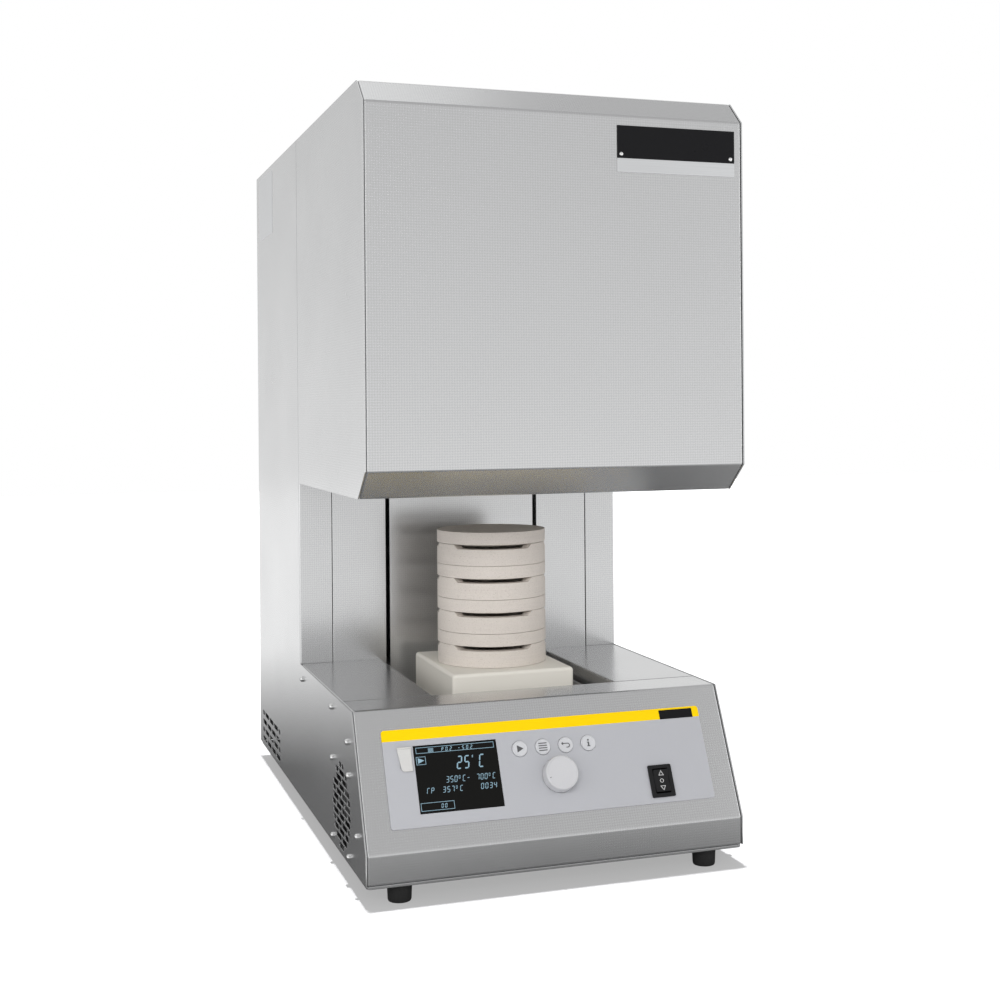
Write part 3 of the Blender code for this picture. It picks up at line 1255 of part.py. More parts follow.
def saggers(finishes, lift):
    """The stack of pots and lids, each on its own spigot."""
    inner = SAGGER_RADIUS - SAGGER_WALL
    pot_profile = [
        (0.0, 0.0),
        (SAGGER_RADIUS, 0.0),
        (SAGGER_RADIUS, SAGGER_HEIGHT),
        (inner, SAGGER_HEIGHT),
        (inner, SAGGER_FLOOR),
        (0.0, SAGGER_FLOOR),
    ]
    spigot = inner - SEAM_GAP
    lid_profile = [
        (0.0, -LID_SPIGOT),
        (spigot, -LID_SPIGOT),
        (spigot, 0.0),
        (SAGGER_RADIUS, 0.0),
        (SAGGER_RADIUS, LID_THICKNESS - SAGGER_EDGE),
        (SAGGER_RADIUS - SAGGER_EDGE, LID_THICKNESS),
        (0.0, LID_THICKNESS),
    ]
    for i in range(SAGGER_COUNT):
        level = SEAT_GAP + i * SAGGER_PITCH
        pot = turned(pot_profile, SAGGER_STEPS)
        for vert in pot.verts:
            if vert.co.z > SAGGER_HEIGHT - SEAT_GAP:
                vert.co.z -= SLIT_HEIGHT * sagger_rim(math.atan2(vert.co.y, vert.co.x))
        place = (0.0, 0.0, level)
        smooth(make_object(f"sagger_{i + 1}", pot, finishes["sagger_ceramic"], place, lift))
        lid_place = (0.0, 0.0, level + SAGGER_HEIGHT + SEAT_GAP)
        lid = turned(lid_profile, SAGGER_STEPS)
        smooth(make_object(f"sagger_lid_{i + 1}", lid, finishes["sagger_ceramic"], lid_place, lift))


def lift_carriage(finishes, lift):
    """The block between the arms, with the spindle nut on top, bored for the spindle and the guide rods."""
    half_x = ARM_SPACING / 2 - TABLE_SHEET / 2 - SEAT_GAP
    half_y = CARRIAGE_DEPTH / 2
    low = TABLE_Z - PLUG_TOP_Z
    place = (0.0, SCREW_Y - LIFT_Y, low)
    block = box((-half_x, -half_y, 0.0), (half_x, half_y, CARRIAGE_HEIGHT))
    carriage = make_object("lift_carriage", block, finishes["machined_steel"], place, lift)
    nut_top = CARRIAGE_HEIGHT + NUT_HEIGHT
    nut = prism(circle(NUT_RADIUS, SMALL_ROUND_STEPS), CARRIAGE_HEIGHT / 2, nut_top)
    combine(carriage, make_guide("lift_carriage_nut", nut, place, lift), "UNION")
    bores = bmesh.new()
    add_prism(bores, circle(SCREW_RADIUS + SEAT_GAP, SMALL_ROUND_STEPS), -CUT_OVERRUN, nut_top + CUT_OVERRUN)
    for side in (-1, 1):
        bore = circle(ROD_RADIUS + SEAT_GAP, SMALL_ROUND_STEPS, (side * ROD_SPACING / 2, 0.0))
        add_prism(bores, bore, -CUT_OVERRUN, nut_top + CUT_OVERRUN)
    combine(carriage, make_guide("lift_carriage_bores", bores, place, lift), "DIFFERENCE")


def lift_drive(finishes):
    """Motor, bearing plates, guide rods and lead screw, upright in the column."""
    plate_outline = rounded_rectangle(BEARING_PLATE_WIDTH, BEARING_PLATE_DEPTH, BEARING_CORNER_RADIUS)
    low, high = LOWER_PLATE_Z, UPPER_PLATE_Z
    plates = {"lower_bearing_plate": low, "upper_bearing_plate": high}
    for name, level in plates.items():
        place = (0.0, SCREW_Y, level)
        plate = make_object(
            name, prism(plate_outline, 0.0, BEARING_PLATE_THICKNESS), finishes["machined_steel"], place
        )
        bores = bmesh.new()
        screw_bore = circle(SCREW_RADIUS + SEAT_GAP, SMALL_ROUND_STEPS)
        add_prism(bores, screw_bore, -CUT_OVERRUN, BEARING_PLATE_THICKNESS + CUT_OVERRUN)
        for side in (-1, 1):
            rod_bore = circle(ROD_RADIUS + SEAT_GAP, SMALL_ROUND_STEPS, (side * ROD_SPACING / 2, 0.0))
            add_prism(bores, rod_bore, -CUT_OVERRUN, BEARING_PLATE_THICKNESS + CUT_OVERRUN)
        combine(plate, make_guide(name + "_bores", bores, place), "DIFFERENCE")
    top = high + BEARING_PLATE_THICKNESS
    for name, side in (("guide_rod_left", -1), ("guide_rod_right", 1)):
        rod = prism(circle(ROD_RADIUS, SMALL_ROUND_STEPS), low, top)
        smooth(make_object(name, rod, finishes["machined_steel"], (side * ROD_SPACING / 2, SCREW_Y, 0.0)))
    collar_bottom = low + BEARING_PLATE_THICKNESS + SEAT_GAP
    collar_top = collar_bottom + SCREW_COLLAR_HEIGHT
    screw_profile = [
        (0.0, low),
        (SCREW_RADIUS, low),
        (SCREW_RADIUS, collar_bottom),
        (SCREW_COLLAR_RADIUS, collar_bottom),
        (SCREW_COLLAR_RADIUS, collar_top),
        (SCREW_RADIUS, collar_top),
        (SCREW_RADIUS, top),
        (0.0, top),
    ]
    screw = turned(screw_profile, SMALL_ROUND_STEPS)
    smooth(make_object("lead_screw", screw, finishes["machined_steel"], (0.0, SCREW_Y, 0.0)))
    bottom = PANEL_BOTTOM_Z
    motor_profile = [
        (0.0, bottom),
        (MOTOR_RADIUS, bottom),
        (MOTOR_RADIUS, MOTOR_TOP_Z - MOTOR_BOSS_HEIGHT),
        (MOTOR_BOSS_RADIUS, MOTOR_TOP_Z - MOTOR_BOSS_HEIGHT),
        (MOTOR_BOSS_RADIUS, MOTOR_TOP_Z),
        (0.0, MOTOR_TOP_Z),
    ]
    smooth(make_object("lift_motor", turned(motor_profile), finishes["inner_steel"], (0.0, SCREW_Y, 0.0)))


def cooling_fan(finishes):
    """The square fan behind the round grille: frame with four struts, and its bladed rotor."""
    inner_x = PANEL_INSIDE_X - SEAT_GAP
    place = (-inner_x, FAN_Y, FAN_Z)
    frame = make_object(
        "fan_frame",
        prism(rounded_rectangle(FAN_SIZE, FAN_SIZE, FAN_CORNER_RADIUS), 0.0, FAN_THICKNESS, "X"),
        finishes["black_plastic"],
        place,
    )
    bore = prism(circle(FAN_BORE_RADIUS), -CUT_OVERRUN, FAN_THICKNESS + CUT_OVERRUN, "X")
    combine(frame, make_guide("fan_frame_bore", bore, place), "DIFFERENCE")
    plate_start = FAN_THICKNESS - FAN_HUB_PLATE
    spokes = bmesh.new()
    reach = FAN_BORE_RADIUS + (FAN_SIZE / 2 - FAN_BORE_RADIUS) / 2
    cross = []
    for turn in range(4):
        a, b = math.cos(turn * math.pi / 2), math.sin(turn * math.pi / 2)
        half = FAN_STRUT_WIDTH / 2
        cross.append((half * (a + b), half * (b - a)))
        cross.append((reach * a + half * b, reach * b - half * a))
        cross.append((reach * a - half * b, reach * b + half * a))
    add_prism(spokes, cross, plate_start, FAN_THICKNESS, "X")
    combine(frame, make_guide("fan_frame_struts", spokes, place), "UNION")
    hub = prism(circle(FAN_HUB_RADIUS, SMALL_ROUND_STEPS), plate_start, FAN_THICKNESS, "X")
    combine(frame, make_guide("fan_frame_hub", hub, place), "UNION")

    hub_front = FAN_HUB_PLATE
    hub_back = plate_start - SEAT_GAP
    rotor_hub = turned(
        [
            (0.0, hub_front),
            (FAN_HUB_RADIUS - FAN_TIP_GAP, hub_front),
            (FAN_HUB_RADIUS, hub_front + FAN_TIP_GAP),
            (FAN_HUB_RADIUS, hub_back),
            (0.0, hub_back),
        ],
        SMALL_ROUND_STEPS,
        "X",
    )
    rotor = make_object("fan_rotor", rotor_hub, finishes["black_plastic"], place)
    blades = bmesh.new()
    tip = FAN_BORE_RADIUS - FAN_TIP_GAP
    root = FAN_HUB_RADIUS - FAN_BLADE_THICKNESS
    depth = hub_back - hub_front - 2 * FAN_TIP_GAP
    chord = min(depth, FAN_BORE_RADIUS / 2) / 2
    middle = (hub_back + hub_front) / 2
    for blade in range(FAN_BLADES):
        turn = 2 * math.pi * blade / FAN_BLADES
        before = None
        for k in range(FAN_BLADE_STATIONS):
            outward = k / (FAN_BLADE_STATIONS - 1)
            radius = root + (tip - root) * outward
            pitch = FAN_BLADE_ANGLE + (math.pi / 2 - FAN_BLADE_ANGLE) * FAN_TWIST_SHARE * outward
            along = chord * math.cos(pitch)
            around = chord * math.sin(pitch) / radius
            half = FAN_BLADE_THICKNESS / 2
            ring = []
            for sign, lift in ((-1, -half), (1, -half), (1, half), (-1, half)):
                angle = turn + sign * around
                corner = (middle + sign * along + lift, radius * math.cos(angle), radius * math.sin(angle))
                ring.append(blades.verts.new(corner))
            if before:
                for i in range(4):
                    blades.faces.new((before[i], before[(i + 1) % 4], ring[(i + 1) % 4], ring[i]))
            else:
                blades.faces.new(ring[::-1])
            before = ring
        blades.faces.new(before)
    combine(rotor, make_guide("fan_rotor_blades", blades, place), "UNION")


def transformer(finishes):
    """The transformer on the base plate: laminated core with its coil."""
    place = (TRANSFORMER_RIGHT, TRANSFORMER_Y, PANEL_BOTTOM_Z)
    core = box((-CORE_WIDTH / 2, -CORE_DEPTH / 2, 0.0), (CORE_WIDTH / 2, CORE_DEPTH / 2, CORE_HEIGHT))
    body = make_object("power_transformer", core, finishes["inner_steel"], place)
    half_w = CORE_WIDTH * COIL_WIDTH_SHARE / 2
    half_h = CORE_HEIGHT * COIL_HEIGHT_SHARE / 2
    depth = CORE_DEPTH + 2 * COIL_OVERHANG
    outline = rounded_rectangle(2 * half_w, 2 * half_h, half_h / 4, (0.0, CORE_HEIGHT / 2))
    coil = prism(outline, -depth / 2, depth / 2, "Y")
    combine(body, make_guide("power_transformer_coil", coil, place), "UNION")


def main():
    """Builds the furnace, piece by piece."""
    for old in list(bpy.data.objects):
        bpy.data.objects.remove(old)
    finishes = build_materials()
    slope = make_empty("console_slope", (0.0, LIP_Y, FOLD_Z), (SLOPE_ANGLE, 0.0, 0.0))
    rear = make_empty("rear_face", (INLET_RIGHT, REAR_PANEL_Y, INLET_Z), (math.pi / 2, 0.0, math.pi))
    lift = make_empty("lift", (0.0, LIFT_Y, PLUG_TOP_Z))
    base_plate(finishes)
    feet(finishes)
    side_panel("left_side_panel", -1, finishes)
    side_panel("right_side_panel", 1, finishes)
    rear_panel(finishes)
    column_front_panel(finishes)
    base_deck(finishes)
    front_console(finishes, slope)
    control_overlay(finishes, slope)
    display_module(finishes, slope)
    usb_port(finishes, slope)
    buttons(finishes, slope)
    dial(finishes, slope)
    controller_board(finishes, slope)
    lift_switch(finishes, slope)
    power_inlet(finishes, rear)
    head_panels(finishes)
    chamber(finishes)
    heating_elements(finishes)
    thermocouple(finishes)
    lift_table(finishes, lift)
    plug_block(finishes, lift)
    saggers(finishes, lift)
    lift_carriage(finishes, lift)
    lift_drive(finishes)
    cooling_fan(finishes)
    transformer(finishes)


main()
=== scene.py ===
"""Looks of the lift-bottom furnace: bent stainless sheets, printed console, ceramic stack, lift and studio.

Metres, +Z up, +Y to the rear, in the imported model's own frame.
"""

from __future__ import annotations

import logging
import math
from dataclasses import dataclass, field
from enum import Enum
from typing import Callable, Sequence

import bmesh
import bpy
from mathutils import Matrix, Vector


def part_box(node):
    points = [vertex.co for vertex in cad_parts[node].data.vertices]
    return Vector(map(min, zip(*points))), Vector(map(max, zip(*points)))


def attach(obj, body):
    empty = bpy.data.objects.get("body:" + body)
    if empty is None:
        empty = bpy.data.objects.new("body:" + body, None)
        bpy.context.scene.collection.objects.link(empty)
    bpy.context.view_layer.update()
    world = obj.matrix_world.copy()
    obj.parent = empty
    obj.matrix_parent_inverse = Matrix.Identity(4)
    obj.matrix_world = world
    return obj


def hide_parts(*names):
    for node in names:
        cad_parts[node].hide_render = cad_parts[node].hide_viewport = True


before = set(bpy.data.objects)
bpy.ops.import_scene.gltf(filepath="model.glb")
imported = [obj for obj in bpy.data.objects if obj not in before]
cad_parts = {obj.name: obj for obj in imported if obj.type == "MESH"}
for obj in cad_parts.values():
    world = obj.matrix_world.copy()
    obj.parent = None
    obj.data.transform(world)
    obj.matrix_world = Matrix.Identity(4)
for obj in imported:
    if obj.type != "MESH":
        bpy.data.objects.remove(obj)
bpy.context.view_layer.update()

LOG = logging.getLogger("furnace")
SHEET_MAP = "sheet"
MERGE_DISTANCE = 1e-6
OVERRUN = 0.005
SHARP_ANGLE = math.radians(32)
SHEET_EDGE = 0.00015
LINEN_PITCH = 0.0023
ROUND_END_SHARE = 0.98
EASED_SHARE = 0.3

Point = tuple[float, float]
Color = tuple[float, float, float]
X, Y, Z = Vector((1, 0, 0)), Vector((0, 1, 0)), Vector((0, 0, 1))


@dataclass(frozen=True)
class Span:
    """The room between a lowest and a highest corner."""

    low: Vector
    high: Vector

    @property
    def centre(self) -> Vector:
        """The middle of the room."""
        return (self.low + self.high) / 2

    @property
    def size(self) -> Vector:
        """The room's edges."""
        return self.high - self.low


def span(node: str) -> Span:
    """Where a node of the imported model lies.

    Args:
        node: The node's name.

    Returns:
        The room that the node takes at rest.
    """
    return Span(*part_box(node))


def facing(origin: Vector, outward: Vector, up: Vector) -> Matrix:
    """Axes on a surface: X to the right as seen from outside, Y up along it, Z out of it.

    Args:
        origin: The point that becomes the origin.
        outward: The way out of the surface.
        up: The way up along the surface.

    Returns:
        The matrix from the surface's axes to the frame's.
    """
    out = outward.normalized()
    right = up.cross(out).normalized()
    turn = Matrix((right, out.cross(right), out)).transposed().to_4x4()
    return Matrix.Translation(origin) @ turn


def shift(x: float, y: float, z: float) -> Matrix:
    """A plain shift.

    Args:
        x: How far to the right.
        y: How far to the rear.
        z: How far up.

    Returns:
        The shift.
    """
    return Matrix.Translation((x, y, z))


def upright(x: float = 0.0) -> Matrix:
    """Stands a flat outline of (y, z) points upright.

    Args:
        x: Where it stands.

    Returns:
        The turn and the shift.
    """
    return Matrix(((0, 0, 1, x), (1, 0, 0, 0), (0, 1, 0, 0), (0, 0, 0, 1)))


def crosswise(y: float) -> Matrix:
    """Turns a bent sheet so that its line runs from side to side.

    Args:
        y: Where the middle of its width comes.

    Returns:
        The turn and the shift.
    """
    return Matrix(((0, 1, 0, 0), (1, 0, 0, y), (0, 0, 1, 0), (0, 0, 0, 1)))


def eased_side(radius: float, height: float, edge: float) -> list[Point]:
    """The outer wall of a turned piece, with both its edges eased.

    Args:
        radius: Its radius.
        height: Its height.
        edge: How far its edges are eased.

    Returns:
        The points from the lower edge to the upper.
    """
    lower = [(radius - edge, 0.0), (radius - edge * EASED_SHARE, edge * EASED_SHARE), (radius, edge)]
    return lower + [(x, height - y) for x, y in lower[::-1]]


def offset_line(points: Sequence[Point], distance: float) -> list[Point]:
    """Moves an open line to its left, with mitred corners.

    Args:
        points: The line's points.
        distance: How far it moves.

    Returns:
        The moved points.
    """
    moved = []
    for i, (a, b) in enumerate(points):
        normals = []
        for j in (i - 1, i):
            if 0 <= j < len(points) - 1:
                run, rise = points[j + 1][0] - points[j][0], points[j + 1][1] - points[j][1]
                length = math.hypot(run, rise)
                normals.append((-rise / length, run / length))
        across, along = sum(n[0] for n in normals), sum(n[1] for n in normals)
        reach = distance * len(normals) / (across * across + along * along)
        moved.append((a + across * reach, b + along * reach))
    return moved


class Shape:
    """A mesh in the making, worked by bmesh operators."""

    def __init__(self) -> None:
        """Starts with an empty bench."""
        self.bm = bmesh.new()

    @classmethod
    def outline(cls, points: Sequence[Point]) -> "Shape":
        """A flat face that looks along +Z.

        Args:
            points: The corners, in order.

        Returns:
            The face as a shape.
        """
        made = cls()
        face = made.bm.faces.new([made.bm.verts.new((a, b, 0.0)) for a, b in points])
        face.normal_update()
        if face.normal.z < 0:
            face.normal_flip()
        return made

    @classmethod
    def rectangle(cls, width: float, height: float, centre: Point = (0.0, 0.0)) -> "Shape":
        """A flat rectangle that looks along +Z.

        Args:
            width: Its size along X.
            height: Its size along Y.
            centre: Where its middle lies.

        Returns:
            The rectangle as a shape.
        """
        made = cls()
        bmesh.ops.create_grid(made.bm, x_segments=1, y_segments=1, size=0.5)
        return made.moved(shift(*centre, 0.0) @ Matrix.Diagonal((width, height, 1.0, 1.0)))

    @classmethod
    def disc(cls, radius: float, steps: int, centre: Point = (0.0, 0.0)) -> "Shape":
        """A flat disc that looks along +Z.

        Args:
            radius: Its radius.
            steps: How many corners it has.
            centre: Where its middle lies.

        Returns:
            The disc as a shape.
        """
        made = cls()
        bmesh.ops.create_circle(made.bm, cap_ends=True, segments=steps, radius=radius)
        return made.moved(shift(*centre, 0.0))

    @classmethod
    def turned(
        cls,
        profile: Sequence[Point],
        steps: int,
        rounding: float = 0.0,
    ) -> "Shape":
        """A solid turned about Z.

        Args:
            profile: Points of radius and height, from the foot on the axis up to the top on the axis.
            steps: How many steps the full turn takes.
            rounding: How far from its point each corner starts to round.

        Returns:
            The turned solid.
        """
        made = cls()
        bm = made.bm
        verts = [bm.verts.new((radius, 0.0, height)) for radius, height in profile]
        for pair in zip(verts, verts[1:]):
            bm.edges.new(pair)
        if rounding:
            made.bevel(verts[1:-1], rounding, 2, "VERTICES")
        bmesh.ops.spin(
            bm,
            geom=bm.verts[:] + bm.edges[:],
            cent=(0, 0, 0),
            axis=Z,
            angle=2 * math.pi,
            steps=steps,
            use_merge=True,
        )
        bmesh.ops.remove_doubles(bm, verts=bm.verts[:], dist=MERGE_DISTANCE)
        return made.outward()

    @classmethod
    def bent(cls, line: Sequence[Point], half_width: float, fold: float, bend: float) -> "Shape":
        """The outer skin of a sheet bent along a line of (y, z) points, with its side edges folded back.

        Args:
            line: The line, with the housing's inside on its left.
            half_width: Half the sheet's width along X.
            fold: How deep the side folds are.
            bend: How far from its line each bend starts.

        Returns:
            The skin, looking outwards.
        """
        made = cls()
        bm = made.bm
        near = [bm.verts.new((-half_width, y, z)) for y, z in line]
        edges = [bm.edges.new(pair) for pair in zip(near, near[1:])]
        grown = bmesh.ops.extrude_edge_only(bm, edges=edges)["geom"]
        first = edges[0].link_faces[0]
        new = [item for item in grown if isinstance(item, bmesh.types.BMVert)]
        bmesh.ops.translate(bm, verts=new, vec=(2 * half_width, 0, 0))
        far = [min(new, key=lambda v, n=n: (v.co.yz - n.co.yz).length) for n in near]
        if fold:
            inner = offset_line(line, fold)
            for row in (near, far):
                back = [bm.verts.new((row[0].co.x, y, z)) for y, z in inner]
                bm.faces.new(row + back[::-1])
        (y0, z0), (y1, z1) = line[0], line[1]
        made.outward(Vector((0, z1 - z0, y0 - y1)), first)
        return made.soften(bend, 4)

    def outward(self, hint: Vector | None = None, probe: bmesh.types.BMFace | None = None) -> "Shape":
        """Points the faces out of the solid, or one face of an open skin along a hint.

        Args:
            hint: The way that the face should look, for an open skin.
            probe: The face, or none for the largest that looks along the hint.

        Returns:
            The shape.
        """
        bmesh.ops.recalc_face_normals(self.bm, faces=self.bm.faces[:])
        if hint is not None:
            probe = probe or max(self.bm.faces, key=lambda f: f.calc_area() * abs(f.normal.dot(hint)))
            if probe.normal.dot(hint) < 0:
                bmesh.ops.reverse_faces(self.bm, faces=self.bm.faces[:])
        return self

    def bevel(self, items: Sequence[object], offset: float, segments: int, affect: str = "EDGES") -> "Shape":
        """Rounds edges or corners.

        Args:
            items: The edges or the vertices.
            offset: How far from the corner the rounding starts.
            segments: How many steps the rounding has.
            affect: EDGES or VERTICES.

        Returns:
            The shape.
        """
        bmesh.ops.bevel(
            self.bm,
            geom=list(items),
            offset=offset,
            offset_type="OFFSET",
            segments=segments,
            profile=0.5,
            affect=affect,
            clamp_overlap=True,
            material=-1,
        )
        return self

    def rounded(self, radius: float, segments: int = 6) -> "Shape":
        """Rounds the corners of a flat outline."""
        return self.bevel(self.bm.verts[:], radius, segments, "VERTICES")

    def soften(self, offset: float, segments: int = 2, angle: float = math.radians(20)) -> "Shape":
        """Rounds every edge between faces that meet at more than an angle."""
        sharp = [e for e in self.bm.edges if len(e.link_faces) == 2 and e.calc_face_angle() > angle]
        return self.bevel(sharp, offset, segments)

    def moved(self, place: Matrix) -> "Shape":
        """Moves, turns or stretches the whole shape."""
        bmesh.ops.transform(self.bm, matrix=place, verts=self.bm.verts[:])
        return self

    def mirrored(self) -> "Shape":
        """Mirrors the shape from right to left."""
        self.moved(Matrix.Diagonal((-1, 1, 1, 1)))
        bmesh.ops.reverse_faces(self.bm, faces=self.bm.faces[:])
        return self

    def raised(self, height: float, base: float = 0.0) -> "Shape":
        """Makes flat faces solid along Z.

        Args:
            height: How thick they become.
            base: How far up their underside lies.

        Returns:
            The shape.
        """
        grown = bmesh.ops.extrude_face_region(self.bm, geom=self.bm.faces[:], use_keep_orig=True)["geom"]
        top = [item for item in grown if isinstance(item, bmesh.types.BMVert)]
        bmesh.ops.translate(self.bm, verts=top, vec=(0, 0, height))
        bmesh.ops.translate(self.bm, verts=self.bm.verts[:], vec=(0, 0, base))
        return self.outward()

    def cutter(self) -> "Shape":
        """Makes flat faces a solid that reaches through a sheet both ways."""
        return self.raised(2 * OVERRUN, -OVERRUN)

    def frame_only(self, width: float) -> "Shape":
        """Leaves only a band along the outline of a flat face.

        Args:
            width: How wide the band is.

        Returns:
            The shape.
        """
        inner = self.bm.faces[:]
        bmesh.ops.inset_region(self.bm, faces=inner, thickness=width, use_even_offset=True, use_boundary=True)
        bmesh.ops.delete(self.bm, geom=inner, context="FACES")
        return self

    def thickened(self, thickness: float) -> "Shape":
        """Gives a skin its thickness, inwards."""
        return self._through("SOLIDIFY", thickness=thickness, offset=-1.0, use_even_offset=True).outward()

    def joined(self, *others: "Shape") -> "Shape":
        """Puts other shapes into this one.

        Args:
            others: The shapes, which are used up.

        Returns:
            The shape.
        """
        for other in others:
            spare = bpy.data.meshes.new("spare")
            other.bm.to_mesh(spare)
            other.bm.free()
            self.bm.from_mesh(spare)
            bpy.data.meshes.remove(spare)
        return self

    def cut(self, *cutters: "Shape") -> "Shape":
        """Takes closed shapes out of this solid.

        Args:
            cutters: The shapes, which are used up.

        Returns:
            The shape.
        """
        tool = Shape().joined(*cutters).loose("tool")
        self._through("BOOLEAN", operation="DIFFERENCE", solver="EXACT", object=tool)
        bpy.data.objects.remove(tool)
        return self

    def loose(self, name: str) -> bpy.types.Object:
        """Turns the shape into an object in the scene.

        Args:
            name: The object's name.

        Returns:
            The object, at the origin.
        """
        mesh = bpy.data.meshes.new(name)
        self.bm.to_mesh(mesh)
        self.bm.free()
        made = bpy.data.objects.new(name, mesh)
        bpy.context.scene.collection.objects.link(made)
        return made

    def _through(self, kind: str, **settings: object) -> "Shape":
        """Sends the shape through one modifier and takes it back.

        Args:
            kind: The modifier's kind.
            settings: Its settings.

        Returns:
            The shape.
        """
        work = self.loose("work")
        step = work.modifiers.new(kind.lower(), kind)
        for name, value in settings.items():
            setattr(step, name, value)
        changed = bpy.data.meshes.new_from_object(work.evaluated_get(bpy.context.evaluated_depsgraph_get()))
        self.bm = bmesh.new()
        self.bm.from_mesh(changed)
        bpy.data.objects.remove(work)
        bpy.data.meshes.remove(changed)
        return self

    def unrolled(self) -> "Shape":
        """Lays each face's own metres on the sheet map, so that grain follows the metal round its bends."""
        layer = self.bm.loops.layers.uv.get(SHEET_MAP) or self.bm.loops.layers.uv.new(SHEET_MAP)
        for face in self.bm.faces:
            if abs(face.normal.x) > 0.9:
                across, along = Y, Z
            else:
                across, along = X, face.normal.cross(X).normalized()
            for loop in face.loops:
                loop[layer].uv = (loop.vert.co.dot(across), loop.vert.co.dot(along))
        return self


class Wiring:
    """A node tree being wired."""

    def __init__(self, tree: bpy.types.NodeTree) -> None:
        """Takes the tree."""
        self.tree = tree

    def node(
        self,
        kind: str,
        inputs: dict[str | int, object] | None = None,
        **settings: object,
    ) -> bpy.types.Node:
        """Adds a node.

        Args:
            kind: The node's type without its ShaderNode prefix.
            inputs: Values or sockets for its inputs, by name or number.
            settings: Its own options.

        Returns:
            The node.
        """
        made = self.tree.nodes.new(kind if kind.startswith("Node") else "ShaderNode" + kind)
        for name, value in settings.items():
            setattr(made, name, value)
        for key, value in (inputs or {}).items():
            self.feed(made.inputs[key], value)
        return made

    def feed(self, socket: bpy.types.NodeSocket, value: object) -> None:
        """Fills a socket.

        Args:
            socket: The input.
            value: A number, a colour or another node's output.
        """
        if isinstance(value, bpy.types.NodeSocket):
            self.tree.links.new(value, socket)
        else:
            socket.default_value = value

    def place(self, unrolled: bool) -> bpy.types.NodeSocket:
        """Where a point lies, in metres.

        Args:
            unrolled: Whether to read the sheet map and not the object's own axes.

        Returns:
            The coordinates.
        """
        if unrolled:
            return self.node("UVMap", uv_map=SHEET_MAP).outputs["UV"]
        return self.node("TexCoord").outputs["Object"]

    def stretched(self, where: object, scale: Sequence[float]) -> bpy.types.NodeSocket:
        """Coordinates stretched along each axis."""
        return self.node("Mapping", {"Vector": where, "Scale": scale}).outputs["Vector"]

    def noise(self, where: object, scale: float, detail: float = 2.0) -> bpy.types.NodeSocket:
        """Soft noise from nought to one."""
        made = self.node("TexNoise", {"Vector": where, "Scale": scale, "Detail": detail})
        return made.outputs[0]

    def ramp(
        self, value: object, start: float, end: float, low: float = 0.0, high: float = 1.0
    ) -> bpy.types.NodeSocket:
        """Maps a range onto another, clamped."""
        made = self.node("MapRange", {0: value, 1: start, 2: end, 3: low, 4: high})
        return made.outputs[0]

    def maths(self, operation: str, first: object, second: object = 0.0) -> bpy.types.NodeSocket:
        """One sum."""
        return self.node("Math", {0: first, 1: second}, operation=operation).outputs[0]

    def mixed(self, factor: object, first: Color, second: object) -> bpy.types.NodeSocket:
        """A colour between two.

        Args:
            factor: How much of the second.
            first: The first colour or socket.
            second: The second colour or socket.

        Returns:
            The mixed colour.
        """
        made = self.node("Mix", {0: factor}, data_type="RGBA")
        for socket, value in ((made.inputs[6], first), (made.inputs[7], second)):
            self.feed(socket, value if isinstance(value, bpy.types.NodeSocket) else (*value, 1.0))
        return made.outputs[2]

    def effect(self, effect: "Effect", **inputs: object) -> dict[str, bpy.types.NodeSocket]:
        """Places one of the shared effects.

        Args:
            effect: Which effect.
            inputs: Its inputs by name.

        Returns:
            Its outputs by name.
        """
        made = self.node("Group")
        made.node_tree = effect.tree()
        for name, value in inputs.items():
            self.feed(made.inputs[name], value)
        return {socket.name: socket for socket in made.outputs}


def wire_linen(wiring: Wiring, given: bpy.types.NodeInputs) -> dict[str, bpy.types.NodeSocket]:
    """Short raised strokes that cross each other, as rolled into patterned sheet; their tone follows their
    height, painting shade into the valleys.

    Args:
        wiring: The group's wiring.
        given: The group's inputs.

    Returns:
        The group's outputs.
    """
    axes = wiring.node("SeparateXYZ", {0: given["Vector"]}).outputs
    total: object = wiring.maths("MULTIPLY", wiring.noise(given["Vector"], 300.0, 2.0), 1.2)
    for axis in axes:
        wave = wiring.maths("SINE", wiring.maths("MULTIPLY", axis, math.tau / LINEN_PITCH))
        total = wiring.maths("ADD", total, wave)
    woven = wiring.ramp(total, -1.8, 3.0)
    # Tone is the height itself: the strokes' valleys get painted shade in the steel's colour.
    return {"Height": woven, "Tone": woven}


def wire_brushed(wiring: Wiring, given: bpy.types.NodeInputs) -> dict[str, bpy.types.NodeSocket]:
    """Long fine scratches along the first axis.

    Args:
        wiring: The group's wiring.
        given: The group's inputs.

    Returns:
        The group's outputs.
    """
    fine = wiring.noise(wiring.stretched(given["Vector"], (25.0, 3200.0, 3200.0)), 1.0, 3.0)
    coarse = wiring.noise(wiring.stretched(given["Vector"], (9.0, 700.0, 700.0)), 1.0, 2.0)
    both = wiring.maths("ADD", wiring.maths("MULTIPLY", fine, 0.6), wiring.maths("MULTIPLY", coarse, 0.4))
    return {"Height": wiring.ramp(both, 0.3, 0.7), "Tone": wiring.ramp(both, 0.35, 0.65)}


def wire_cloud(wiring: Wiring, given: bpy.types.NodeInputs) -> dict[str, bpy.types.NodeSocket]:
    """Broad soft patches, as handling and rolling leave them.

    Args:
        wiring: The group's wiring.
        given: The group's inputs.

    Returns:
        The group's outputs.
    """
    broad = wiring.node("TexNoise", {"Vector": given["Vector"], "Scale": given["Patches"], "Detail": 4.0})
    return {"Patch": wiring.ramp(broad.outputs[0], 0.3, 0.7)}


